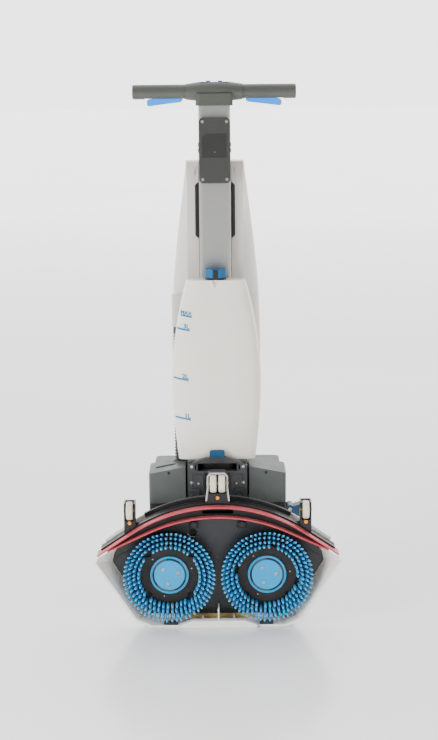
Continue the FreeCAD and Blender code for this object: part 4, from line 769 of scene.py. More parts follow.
class Carried:
    """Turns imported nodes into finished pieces: merged, with rounded edges and a finish."""

    def __init__(self, frame: dict) -> None:
        """Keeps the frame and finds each node's slot."""
        self.nodes = frame["nodes"]
        self.slots = {part["node"]: part["material_slot"] for part in frame["record"]["subparts"]}

    def merged(self, node: str, name: str) -> Piece:
        """A merged copy of a node, with its flat areas made whole.

        Args:
            node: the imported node.
            name: name of the copy.

        Returns:
            The copy.
        """
        twin = Bench.placed(name, self.nodes[node].data.copy())
        Bench.take(twin)
        bpy.ops.object.mode_set(mode="EDIT")
        bpy.ops.mesh.select_mode(type="VERT")
        bpy.ops.mesh.select_all(action="SELECT")
        bpy.ops.mesh.remove_doubles(threshold=0.00001)
        bpy.ops.mesh.dissolve_limited(angle_limit=math.radians(0.6))
        bpy.ops.object.mode_set(mode="OBJECT")
        if twin.data.has_custom_normals:
            bpy.ops.mesh.customdata_custom_splitnormals_clear()
        return twin

    def batch(self, body: str, rows: list[tuple[str, Paint, float]]) -> None:
        """Replaces several nodes of one body.

        Args:
            body: the body they ride on.
            rows: node, finish and edge rounding of each.
        """
        for node, paint, width in rows:
            self.softened(node, paint, width, body=body)

    def softened(self, node: str, paint: Paint, width: float, segments: int = 2, angle: float = 32.0,
                 body: str = "upright") -> Piece:
        """Replaces a node by a copy of itself with rounded edges.

        Args:
            node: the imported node.
            paint: its finish.
            width: edge rounding in millimetres; none if zero.
            segments: faces across a rounded edge.
            angle: edges sharper than this are rounded.
            body: the body it rides on.

        Returns:
            The new piece.
        """
        piece = self.merged(node, node + "_shell")
        if width:
            Bench.bevel(piece, width, segments, angle)
        else:
            Bench.smooth(piece)
        return Bench.dress(piece, body, paint, self.slots[node], (node,))


# ------------------------------------------------------------------ upright
@dataclass
class Upright:
    """Column, handle and control box."""

    carried: Carried
    box_front_y: float = -49.0
    box_bottom_z: float = 960.0
    grip_r: float = 15.8
    half_span: float = 178.0
    axis_y: float = -5.0
    axis_z: float = 1156.5
    lamp_x: float = -22.5
    lamp_pitch: float = 2.9

    def build(self) -> None:
        """Builds and dresses every piece of the upright."""
        self.carried.batch("upright", [
            ("column", Paint.COLUMN, 0.5), ("handle_upper_shell", Paint.HANDLE, 0.5),
            ("handle_lower_shell", Paint.HANDLE, 0.5), ("display_panel", Paint.PANEL, 0.4),
            ("control_box_cover", Paint.BOX, 0.6), ("upright_screws", Paint.STEEL, 0.25),
            ("control_board", Paint.BOARD, 0.2), ("pivot_pins", Paint.STEEL, 0.3)])
        for name in ("left", "right"):
            self.carried.softened("trigger_" + name, Paint.LEVER, 0.9, 3, body="trigger_" + name)
        for name in ("power_button", "flow_button"):
            self.carried.softened(name, Paint.LEVER, 0.5, 3, body=name)
        self.label()
        self.end_caps()
        self.display()

    def label(self) -> None:
        """Blank label field let into the control box, and a small pilot hole below it."""
        front = self.box_front_y + 0.35
        low, high = self.box_bottom_z + 56.4, self.box_bottom_z + 106.6
        plate = Bench.block("control_label", (-26.6, front, low), (25.6, front + 0.4, high))
        Bench.dress(Bench.bevel(plate, 0.15, 1), "upright", Paint.LABEL, "dark_shell")
        seam = Bench.block("control_box_seam", (-33.2, self.box_front_y - 0.12, low - 4.3),
                           (33.2, self.box_front_y + 0.2, low - 3.9))
        Bench.dress(seam, "upright", Paint.PANEL, "dark_shell")
        lamp = Bench.drum("control_lamp", (0.5, front - 0.1, low + 11.0), "Y", 0.9, 0.7, 16)
        Bench.dress(Bench.bevel(lamp, 0.2, 1), "upright", Paint.STEEL, "screw_steel")

    def end_caps(self) -> None:
        """Pressed-in caps at the ends of the grips, each with a ring groove."""
        caps = []
        for side in (-1, 1):
            cap = Bench.drum("cap", (side * (self.half_span - 0.9), self.axis_y, self.axis_z), "X",
                             self.grip_r - 3.4, 1.4, 64)
            Bench.terrace(cap, (side, 0, 0), [(1.2, 0.0), (0.6, -0.5), (0.6, 0.5)])
            caps.append(Bench.bevel(cap, 0.25, 2))
        Bench.dress(Bench.join("grip_end_caps", caps), "upright", Paint.PANEL, "dark_shell")

    def display(self) -> None:
        """Charge lamps in a row on the display panel."""
        places = [(self.lamp_x + i * self.lamp_pitch, self.axis_y + 8.6, 1177.5) for i in range(4)]
        lamps = Bench.heads("display_lamps", places, "Z", 0.9, 0.5, 16, [], (0.15, 1))
        Bench.dress(lamps, "upright", Paint.HUB, "lever_blue")


# ------------------------------------------------------------------ tanks
@dataclass
class SolutionTank:
    """Front tank with its cap, seal and printed fill scale."""

    carried: Carried
    cap_y: float = -64.0
    print_y: float = -130.0
    tick_height: float = 4.0
    tick_slope: float = 0.17
    marks: tuple[tuple[str, float, float, float], ...] = (
        ("MAX", 678.0, -76.5, -52.5), ("3L", 648.0, -85.0, -57.5), ("2L", 538.5, -93.5, -61.0),
        ("1L", 450.0, -91.0, -57.0))

    def build(self) -> None:
        """Builds and dresses the tank."""
        self.scale(self.carried.softened("solution_tank", Paint.TANK, 1.6, 3, 38.0, "solution_tank"))
        self.carried.softened("tank_cap", Paint.CAP, 0.7, 2, 30.0, "tank_cap")
        self.cap_ring()
        self.carried.softened("cap_band", Paint.SEAL, 0.5, 2, 30.0, "solution_tank")

    def cap_ring(self) -> None:
        """Black fork let into the cap's top, on both sides of the strap."""
        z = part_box("tank_cap")[1][2] / MM
        prongs = [Bench.block("prong", (side * 5.6 - 1.6, self.cap_y - 16.5, z - 1.2),
                              (side * 5.6 + 1.6, self.cap_y - 2.0, z)) for side in (-1, 1)]
        bar = Bench.block("bar", (-7.2, self.cap_y - 4.5, z - 1.2), (7.2, self.cap_y - 0.5, z))
        fork = Bench.bevel(Bench.join("cap_fork", prongs + [bar]), 0.4, 2)
        Bench.dress(fork, "tank_cap", Paint.SEAL, "seal_black")

    def scale(self, tank: Piece) -> None:
        """Ticks and plain numbers of the fill scale, laid onto the tank's curve.

        Args:
            tank: the dressed tank.
        """
        pieces = []
        for text, z, left, right in self.marks:
            pieces.append(self.tick(z, left, right))
            pieces.append(self.figure(text, z, right))
        scale = Bench.join("fill_scale", pieces)
        for vertex in scale.data.vertices:
            vertex.co.z -= self.tick_slope * (vertex.co.x + 0.07)
        wrap = scale.modifiers.new("wrap", "SHRINKWRAP")
        wrap.target = tank
        wrap.wrap_method = "PROJECT"
        wrap.use_project_y = True
        wrap.use_positive_direction = True
        wrap.use_negative_direction = False
        wrap.offset = 0.0004
        skin = scale.modifiers.new("ink", "SOLIDIFY")
        skin.thickness = 0.0003
        skin.offset = 1.0
        Bench.dress(Bench.apply(scale), "solution_tank", Paint.MARK, "lever_blue")

    def tick(self, z: float, left: float, right: float) -> Piece:
        """One level line, in front of the tank.

        Args:
            z: its height, in millimetres.
            left: its left end.
            right: its right end.

        Returns:
            The line.
        """
        Bench.clear()
        bpy.ops.mesh.primitive_grid_add(x_subdivisions=28, y_subdivisions=2, size=1.0,
                                        location=((left + right) / 2 * MM, self.print_y * MM, z * MM),
                                        rotation=(math.pi / 2, 0, 0))
        bpy.context.object.scale = ((right - left) * MM, self.tick_height * MM, 1.0)
        return Bench.settle(bpy.context.object, "tick")

    def figure(self, text: str, z: float, right: float) -> Piece:
        """One label of the scale, in front of the tank, above the end of its tick.

        Args:
            text: what it says.
            z: height of its tick.
            right: the tick's right end.

        Returns:
            The letters.
        """
        Bench.clear()
        bpy.ops.object.text_add(location=((right - 0.5) * MM, self.print_y * MM, (z + 3.0) * MM),
                                rotation=(math.pi / 2, 0, 0))
        letters = bpy.context.object
        letters.data.body = text
        letters.data.align_x = "RIGHT"
        letters.data.size = 0.0112 if text == "MAX" else 0.0135
        letters.data.offset = 0.00035
        letters.data.resolution_u = 3
        bpy.ops.object.convert(target="MESH")
        figure = Bench.settle(bpy.context.object, "figure")
        bpy.ops.object.mode_set(mode="EDIT")
        bpy.ops.mesh.select_all(action="SELECT")
        bpy.ops.mesh.quads_convert_to_tris()
        bpy.ops.mesh.subdivide(number_cuts=1)
        bpy.ops.object.mode_set(mode="OBJECT")
        return figure


@dataclass
class RecoveryTank:
    """Rear tank, its cover and its inlet."""

    carried: Carried
    groove_half_x: float = 36.0
    slot_half_x: float = 44.0
    slot_z: tuple[float, float] = (836.0, 963.0)
    slot_corner: float = 8.0
    cover_front_y: float = -10.0

    def build(self) -> None:
        """Builds and dresses the tank."""
        for node, width in (("recovery_tank", 1.4), ("recovery_cover", 1.6), ("inlet_duct", 1.2)):
            self.carried.softened(node, Paint.COVER, width, 3, 38.0, "recovery_tank")
        self.carried.softened("vacuum_hose", Paint.HOSE, 0.0)
        self.slot_shade_panels()

    def slot_shade_panels(self) -> None:
        """Black panels behind the openings beside the column, with cut corners: painted shade for the dark
        depth of the openings.
        """
        low, high = self.slot_z
        panels = []
        for side in (-1, 1):
            ends = sorted((side * (self.groove_half_x + 0.4), side * (self.slot_half_x - 0.3)))
            # painted shade: a black panel set behind each opening, where its inside is in shade
            panel = Bench.block("shade_panel", (ends[0], self.cover_front_y + 0.6, low + 0.4),
                                (ends[1], self.cover_front_y + 2.6, high - 0.4))
            for vertex in panel.data.vertices:
                if abs(vertex.co.x) > (self.slot_half_x - 1.0) * MM:
                    rise = self.slot_corner if vertex.co.z < (low + high) / 2 * MM else -self.slot_corner
                    vertex.co.z += rise * MM
            panels.append(Bench.bevel(panel, 0.3, 1))
        Bench.dress(Bench.join("slot_shade_panels", panels), "recovery_tank", Paint.TRAY, "panel_black")


# ------------------------------------------------------------------ base
@dataclass
class Base:
    """Housing, battery, motor cover, centre panel and the fold bracket."""

    carried: Carried
    panel_front: float = -95.0
    panel_top: float = 362.0
    box_front: float = -90.0
    eye_x: float = 107.5
    eye_z: float = 325.5
    screws: tuple[Point, ...] = ((42.0, 303.0, 2.2), (57.0, 258.0, 0.8))

    def build(self) -> None:
        """Builds and dresses the base."""
        self.carried.batch("upright", [
            ("base_housing", Paint.HOUSING, 1.0), ("base_bottom_cover", Paint.TRAY, 0.9),
            ("centre_panel", Paint.PANEL, 0.8), ("motor_cover", Paint.HOUSING, 1.3),
            ("vacuum_motor", Paint.MOTOR, 0.8), ("water_pump", Paint.PANEL, 0.6),
            ("neck_bracket", Paint.CASTING, 0.8)])
        self.carried.softened("battery_pack", Paint.BATTERY, 1.3, 3, body="battery")
        self.carried.softened("tank_latch", Paint.DEEP_BLUE, 0.8, 3, body="tank_latch")
        self.carried.softened("release_pedal", Paint.DEEP_BLUE, 0.7, 2, body="release_pedal")
        self.panel_details()

    def panel_details(self) -> None:
        """Posts in the lifting slot, ribs and cheeks on the bosses, small screws, and a black disc in each
        eye hole as painted shade.
        """
        front, top = self.panel_front, self.panel_top
        posts = []
        for side in (-1, 1):
            post = Bench.block("post", (side * 45.0 - 2.2, front + 1.0, top - 30.6),
                               (side * 45.0 + 2.2, front + 12.0, top - 14.4))
            posts.append(Bench.bevel(post, 1.2, 3))
            rib = Bench.block("rib", (side * 49.0 - 9.0, front - 5.2, 262.0),
                              (side * 49.0 + 9.0, front - 2.8, 286.0))
            Bench.terrace(rib, (0, -1, 0), [(2.6, 0.0), (0.4, -1.4)])
            posts.append(Bench.bevel(rib, 0.6, 2))
            cheek = Bench.block("cheek", (side * 44.0 - 13.0, front - 1.6, 294.0),
                                (side * 44.0 + 13.0, front + 0.2, 324.0))
            Bench.terrace(cheek, (0, -1, 0), [(1.6, 0.0), (0.4, -0.8)])
            posts.append(Bench.bevel(cheek, 0.4, 2))
        Bench.dress(Bench.join("panel_ribs", posts), "upright", Paint.PANEL, "panel_black")
        places = [(side * x, front - proud, z) for side in (-1, 1) for x, z, proud in self.screws]
        heads = Bench.heads("panel_small_screws", places, "Y", 2.3, 1.6, 24, [(0.9, 0.0), (0.1, -0.7)],
                            (0.2, 1))
        Bench.dress(heads, "upright", Paint.STEEL, "screw_steel")
        # painted shade: a black dished disc set inside each eye hole, where the hole is dark
        for side, body in ((-1, "battery"), (1, "upright")):
            place = (side * self.eye_x, self.box_front + 2.6, self.eye_z)
            hole_shade = Bench.heads("eye_hole_shade_" + body, [place], "Y", 3.15, 3.0, 32, [(0.7, 0.0), (0.1, -0.9)],
                               (0.2, 1))
            Bench.dress(hole_shade, body, Paint.TRAY, "panel_black")


# ------------------------------------------------------------------ brushes
@dataclass
class Brush:
    """One scrubbing brush with its tufts, board and hub."""

    carried: Carried
    side: str
    centre_x: float
    screw_angles: tuple[float, ...] = ()
    centre_z: float = 113.0
    root_y: float = -149.5
    tuft_length: float = 34.6
    tuft_bend: float = 0.6
    rows: tuple[tuple[float, float, int], ...] = (
        (66.8, 67.0, 42), (73.6, 78.5, 48), (80.6, 90.0, 54), (87.4, 100.6, 60))
    strands: int = 7
    notch_angle: float = 44.0
    notch_half: float = 6.5
    disc_r: float = 33.3
    channel_r: float = 37.8
    plate_r: float = 42.0
    slot_r: float = 35.6
    slot_half: float = 1.7
    slot_turn: float = 59.0
    slot_reach: float = 26.0
    screw_ring: float = 19.5
    pin_ring: float = 50.5
    hub_front: float = -156.0

    def build(self) -> None:
        """Builds and dresses the brush."""
        self.tufts()
        body = "brush_" + self.side
        self.carried.softened("brush_disc_" + self.side, Paint.DISC, 0.9, 2, body=body)
        self.carried.softened("spindle_" + self.side, Paint.SHAFT, 0.4, 2, body=body)
        self.hub(body)

    def strand(self, spread: float, turn: float, short: float) -> Piece:
        """One filament bundle of a tuft, standing at the origin along -Y.

        Args:
            spread: distance from the tuft's middle at its widest, in millimetres.
            turn: angle about the tuft's middle, in degrees.
            short: how much shorter it is than the longest, in millimetres.

        Returns:
            The strand.
        """
        Bench.clear()
        length = (self.tuft_length - short) * MM
        bpy.ops.mesh.primitive_cone_add(vertices=5, radius1=1.5 * MM, radius2=0.7 * MM, depth=length,
                                        location=(0, -length / 2, 0), rotation=(math.pi / 2, 0, 0))
        strand = Bench.settle(bpy.context.object, "strand")
        bpy.ops.object.mode_set(mode="EDIT")
        bpy.ops.mesh.select_all(action="SELECT")
        bpy.ops.mesh.bisect(plane_co=(0, -length * self.tuft_bend, 0), plane_no=(0, 1, 0))
        bpy.ops.object.mode_set(mode="OBJECT")
        cosine, sine = math.cos(math.radians(turn)), math.sin(math.radians(turn))
        for vertex in strand.data.vertices:
            depth = -vertex.co.y / length
            past = max(0.0, (depth - self.tuft_bend) / (1.0 - self.tuft_bend))
            share = 0.45 + 0.55 * min(1.0, depth / self.tuft_bend) - 0.5 * past
            vertex.co.x += spread * share * MM * cosine
            vertex.co.z += spread * share * MM * sine
        return strand

    def tuft(self) -> Piece:
        """One tuft: strands that spread towards the middle and close at the tip.

        Returns:
            The tuft.
        """
        strands = [self.strand(0.0, 0.0, 0.0)]
        around = self.strands - 1
        for i in range(around):
            turn, short = 360.0 * i / around + 12.0, 0.7 + (i * 5) % 3 / 2
            strands.append(self.strand(2.5 + 0.25 * (i % 2), turn, short))
        return Bench.join("tuft", strands)

    def tufts(self) -> None:
        """Four rings of tufts that flare outwards; the inner ring leaves the board's notches free."""
        model = self.tuft()
        chance = random.Random(11)
        hub = Matrix.Translation((self.centre_x * MM, self.root_y * MM, self.centre_z * MM))
        placed = []
        for row, (root, tip, count) in enumerate(self.rows):
            for k in range(count):
                angle = 360.0 / count * (k + (0.5 if row % 2 else 0.1))
                to_notch = abs((angle - self.notch_angle + 45.0) % 90.0 - 45.0)
                if row == 0 and to_notch < self.notch_half:
                    continue
                lean = math.atan2(tip - root, self.tuft_length) + chance.uniform(-0.015, 0.015)
                turn = Matrix.Rotation(math.radians(-angle + chance.uniform(-0.6, 0.6)), 4, "Y")
                twin = Bench.placed("tuft_copy", model.data.copy())
                foot = Matrix.Translation((root * MM, 0, 0)) @ Matrix.Rotation(lean, 4, "Z")
                twin.data.transform(hub @ turn @ foot)
                placed.append(twin)
        bpy.data.objects.remove(model)
        brush = Bench.join("tufts_" + self.side, placed)
        Bench.smooth(brush, 50.0)
        Bench.dress(brush, "brush_" + self.side, Paint.TUFT, "bristle_blue", ("bristles_" + self.side,))

    def hub(self, body: str) -> None:
        """Blue hub plate with its slotted channel and three screws, and the pins on the board.

        Args:
            body: the body it rides on.
        """
        centre = (self.centre_x, self.hub_front - 1.5, self.centre_z)
        plate = Bench.drum("hub_cap_" + self.side + "_plate", centre, "Y", self.plate_r, 3.0, 96)
        Bench.terrace(plate, (0, -1, 0), [(0.05, 1.9), (1.3, 0.0), (0.05, -1.2), (0.9, 0.0), (0.05, 0.9),
                                          (1.7, 0.0), (0.05, -1.9), (4.5, 0.0), (0.05, 2.9), (0.8, 0.25)])
        Bench.bevel(plate, 0.22, 2)
        Bench.dress(plate, body, Paint.HUB, "hub_blue", ("hub_cap_" + self.side,))
        plate.data.materials.append(Paint.HANDLE.material())
        middle = Vector((self.centre_x, 0, self.centre_z)) * MM
        for face in plate.data.polygons:
            reach = ((face.center - middle) * Vector((1, 0, 1))).length / MM
            face.material_index = int(face.normal.y < -0.9 and self.disc_r + 0.2 < reach < self.channel_r)
        slots = [self.arc_slot(math.radians(angle + self.slot_turn)) for angle in self.screw_angles]
        Bench.dress(Bench.join("hub_slots_" + self.side, slots), body, Paint.TRAY, "brush_board")
        heads = Bench.heads("hub_screws_" + self.side, self.ring(self.screw_ring, 6.6), "Y", 4.0, 1.9, 32,
                            [(0.9, 0.0), (0.1, -0.4), (1.0, 0.0), (0.1, -0.8)], (0.3, 2))
        Bench.dress(heads, body, Paint.STEEL, "pin_steel")
        pins = Bench.heads("board_pins_" + self.side, self.ring(self.pin_ring, 0.4), "Y", 1.5, 1.4, 20, [],
                           (0.4, 2))
        Bench.dress(pins, body, Paint.STEEL, "pin_steel")

    def ring(self, radius: float, proud: float) -> list[Point]:
        """Points on a circle about the hub, one at each screw's angle.

        Args:
            radius: radius of the circle, in millimetres.
            proud: distance in front of the hub's plane.

        Returns:
            The points, in millimetres.
        """
        return [(self.centre_x + radius * math.cos(math.radians(angle)), self.hub_front - proud,
                 self.centre_z + radius * math.sin(math.radians(angle))) for angle in self.screw_angles]

    def arc_slot(self, middle: float) -> Piece:
        """One dark slot in the hub's channel, about an angle in radians.

        Args:
            middle: angle of its middle, in radians.

        Returns:
            The slot.
        """
        slot = Bench.grid("slot", 16)
        for vertex in slot.data.vertices:
            angle = middle + vertex.co.x * math.radians(self.slot_reach)
            radius = self.slot_r + self.slot_half * vertex.co.y
            vertex.co = Vector((self.centre_x + radius * math.cos(angle), self.hub_front - 3.0,
                                self.centre_z + radius * math.sin(angle))) * MM
        return Bench.thickened(slot, 1.2)


# ------------------------------------------------------------------ squeegee
@dataclass
class Squeegee:
    """Curved squeegee with its two blades, brackets and wheels."""

    carried: Carried
    thick: float = 3.6
    tip_y: float = -190.0
    root_y: float = -150.2
    wheel_y: float = -167.0
    wheel_r: float = 20.0
    wheel_width: float = 14.0
    side_x: float = 191.5
    side_z: float = 261.0
    centre_x: float = 9.4
    centre_z: float = 321.0
    rear_arc: tuple[float, float, float] = (338.0, -66.7, 187.0)
    front_arc: tuple[float, float, float] = (360.0, -111.0, 150.0)
    rear_end_x: float = 262.0
    front_end_x: float = 240.0
    clamp_y: float = -169.0
    rib_pitch: float = 4.6
    rim_y: float = -171.9
    rim_r: float = 2.1
    fork_half_x: float = 20.9

    def build(self) -> None:
        """Builds and dresses the squeegee."""
        self.carried.batch("squeegee", [
            ("squeegee_frame", Paint.FRAME, 0.8), ("wheel_brackets", Paint.BRACKET, 0.6),
            ("wheel_axles", Paint.YELLOW, 0.5), ("height_adjusters", Paint.ORANGE, 0.5)])
        self.fork_rim()
        self.blades()
        for kind, x, z in (("side", self.side_x, self.side_z), ("centre", self.centre_x, self.centre_z)):
            self.wheel(kind + "_wheel_left", -x, z)
            self.wheel(kind + "_wheel_right", x, z)

    def fork_rim(self) -> None:
        """Bright raised edge round the front of the central fork."""
        half, foot, top = self.fork_half_x, 24.6, self.centre_z + 22.6
        right = [(foot, self.centre_z - 38.0), (half + 1.2, self.centre_z - 18.0),
                 (half, self.centre_z - 8.0), (half, top - 7.0), (half - 5.8, top)]
        route = right + [(-x, z) for x, z in reversed(right)]
        curve = bpy.data.curves.new("fork_rim", "CURVE")
        curve.dimensions = "3D"
        curve.bevel_depth = self.rim_r * MM
        curve.bevel_resolution = 3
        curve.use_fill_caps = True
        spline = curve.splines.new("POLY")
        spline.points.add(len(route) - 1)
        for point, (x, z) in zip(spline.points, route):
            point.co = (x * MM, self.rim_y * MM, z * MM, 1.0)
        Bench.take(Bench.placed("fork_rim", curve))
        bpy.ops.object.convert(target="MESH")
        rim = Bench.outward(Bench.settle(bpy.context.object, "fork_rim"))
        Bench.dress(Bench.smooth(rim), "squeegee", Paint.FORK, "bracket_black")

    def along(self, s: float, arc: tuple[float, float, float]) -> tuple[Vector, Vector]:
        """Point and outward direction on a blade's path.

        Args:
            s: distance along the path from its middle, in millimetres.
            arc: radius, height of the centre and half width of the round stretch.

        Returns:
            The point and the direction, with y left at zero.
        """
        radius, centre_z, half_x = arc
        bend = math.asin(half_x / radius)
        angle = max(-bend, min(bend, s / radius))
        out = Vector((math.sin(angle), 0, math.cos(angle)))
        ahead = Vector((math.cos(angle), 0, -math.sin(angle)))
        return Vector((0, 0, centre_z)) + out * radius + ahead * (s - angle * radius), out

    def ribbon(self, name: str, arc: tuple[float, float, float], end_x: float, ys: tuple[float, float],
               offset: float, thick: float, ridge: float = 0.0, columns: int = 560) -> Piece:
        """A strip that follows a blade's path.

        Args:
            name: object name.
            arc: radius, height of the centre and half width of the round stretch.
            end_x: where the strip ends.
            ys: its front and back.
            offset: distance of its middle outside the path.
            thick: its thickness.
            ridge: height of its slanting ribs.
            columns: faces along it.

        Returns:
            The strip.
        """
        strip = Bench.grid(name, columns, 9 if ridge else 1)
        radius, _, half_x = arc
        bend = math.asin(half_x / radius)
        reach = radius * bend + (end_x - half_x) / math.cos(bend)
        for vertex in strip.data.vertices:
            s = vertex.co.x * reach
            y = ys[0] + (vertex.co.y + 1) / 2 * (ys[1] - ys[0])
            place, out = self.along(s, arc)
            wave = ridge if (s + 0.75 * (y - ys[0])) / self.rib_pitch % 1.0 < 0.55 else -ridge
            if abs(vertex.co.x) > 0.998 or abs(vertex.co.y) > 0.999:
                wave = 0.0
            place += out * (offset + wave)
            vertex.co = Vector((place.x, y, place.z)) * MM
        return Bench.thickened(strip, thick)

    def blades(self) -> None:
        """Both ribbed blades and the black clamp over the outer one."""
        for node, arc, end_x, front in (
                ("squeegee_blade_rear", self.rear_arc, self.rear_end_x, self.tip_y),
                ("squeegee_blade_front", self.front_arc, self.front_end_x, self.tip_y + 2.0)):
            blade = self.ribbon(node + "_ribbed", arc, end_x, (front, self.root_y), 0.0, self.thick - 0.6,
                                0.28)
            Bench.dress(Bench.smooth(blade, 20.0), "squeegee", Paint.BLADE, "blade_red", (node,))
        clamp = self.ribbon("blade_clamp", self.rear_arc, self.rear_end_x - 9.0, (self.clamp_y, self.root_y),
                            3.6, 3.2, columns=160)
        Bench.dress(Bench.bevel(clamp, 0.5, 2), "squeegee", Paint.FRAME, "bracket_black")

    def wheel(self, node: str, x: float, z: float) -> None:
        """Cream wheel: crowned tread, parting line, recessed faces and hub.

        Args:
            node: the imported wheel.
            x: its middle across.
            z: its height.
        """
        centre = (x, self.wheel_y, z)
        wheel = Bench.drum(node + "_tread", centre, "X", self.wheel_r - 0.1, self.wheel_width, 72)
        Bench.bevel(wheel, 3.4, 5, 75.0)
        for side in (-1, 1):
            Bench.terrace(wheel, (side, 0, 0), [(0.8, 0.0), (0.3, -1.4), (5.8, 0.0), (0.3, 1.1), (1.4, 0.0)])
        Bench.bevel(wheel, 0.3, 2, 45.0)
        Bench.dress(wheel, node, Paint.WHEEL, "wheel_cream", (node,))
        ring = Bench.drum(node + "_hub_ring", centre, "X", 4.4, self.wheel_width - 0.4, 32)
        Bench.dress(Bench.bevel(ring, 0.4, 2), node, Paint.FORK, "wheel_cream")


# ------------------------------------------------------------------ deck
@dataclass
class Deck:
    """Deck cover, plate, motors, swivel, axle and transport wheels."""

    carried: Carried
    arc_z: float = -66.7
    dark_strip_r: float = 351.4
    dark_strip_half_x: float = 162.0
    dark_strip_height: float = 8.0
    dark_strip_front_y: float = -134.4
    dark_strip_depth: float = 11.2
    screws: tuple[tuple[float, float], ...] = (
        (0.0, 150.0), (0.0, 139.0), (0.0, 82.0), (0.0, 58.0), (0.0, 233.0), (202.0, 140.0), (-202.0, 140.0))

    def build(self) -> None:
        """Builds and dresses the deck."""
        self.carried.batch("deck", [
            ("deck_cover", Paint.DECK, 1.1), ("deck_plate", Paint.PLATE, 0.5),
            ("gearmotor_left", Paint.MOTOR, 0.8), ("gearmotor_right", Paint.MOTOR, 0.8),
            ("swivel_socket", Paint.CASTING, 1.0), ("transport_axle", Paint.CASTING, 0.7),
            ("squeegee_knobs", Paint.BRACKET, 0.6), ("nose_pads", Paint.SEAL, 0.5)])
        self.carried.softened("neck", Paint.CASTING, 1.2, 3, body="neck")
        for side in ("left", "right"):
            node = "transport_wheel_" + side
            self.carried.softened(node, Paint.TYRE, 0.8, 2, body=node)
        self.amber_strip()
        self.top_dark_strip()
        self.plate_fixings()

    def amber_strip(self) -> None:
        """Amber strip seen between the nose ribs: partly the amber tint between plate and lip, partly
        painted shade between the ribs.
        """
        strip = Bench.block("amber_tint_and_shade", (-78.0, -133.9, 4.5), (78.0, -132.4, 16.0))
        Bench.dress(Bench.bevel(strip, 0.4, 2), "deck", Paint.AMBER, "adjuster_orange")

    def top_dark_strip(self) -> None:
        """Black strip over the middle of the cover's upper edge."""
        dark_strip = Bench.grid("cover_top_dark_strip", 64)
        half = math.asin(self.dark_strip_half_x / self.dark_strip_r)
        for vertex in dark_strip.data.vertices:
            angle = vertex.co.x * half
            radius = self.dark_strip_r - (self.dark_strip_height if vertex.co.y < 0 else 0.0)
            vertex.co = Vector((radius * math.sin(angle), self.dark_strip_front_y,
                                self.arc_z + radius * math.cos(angle))) * MM
        dark_strip.data.transform(Matrix.Translation((0, self.dark_strip_depth / 2 * MM, 0)))
        Bench.thickened(dark_strip, self.dark_strip_depth)
        Bench.dress(Bench.bevel(dark_strip, 0.6, 2), "deck", Paint.SEAL, "seal_black")

    def plate_fixings(self) -> None:
        """Small screws down the middle of the plate and at its corners."""
        places = [(x, -134.3 if abs(x) < 100 else -136.0, z) for x, z in self.screws]
        heads = Bench.heads("plate_screws", places, "Y", 1.9, 1.0, 24, [(0.8, 0.0), (0.1, -0.5)], (0.15, 1))
        Bench.dress(heads, "deck", Paint.PANEL, "screw_steel")


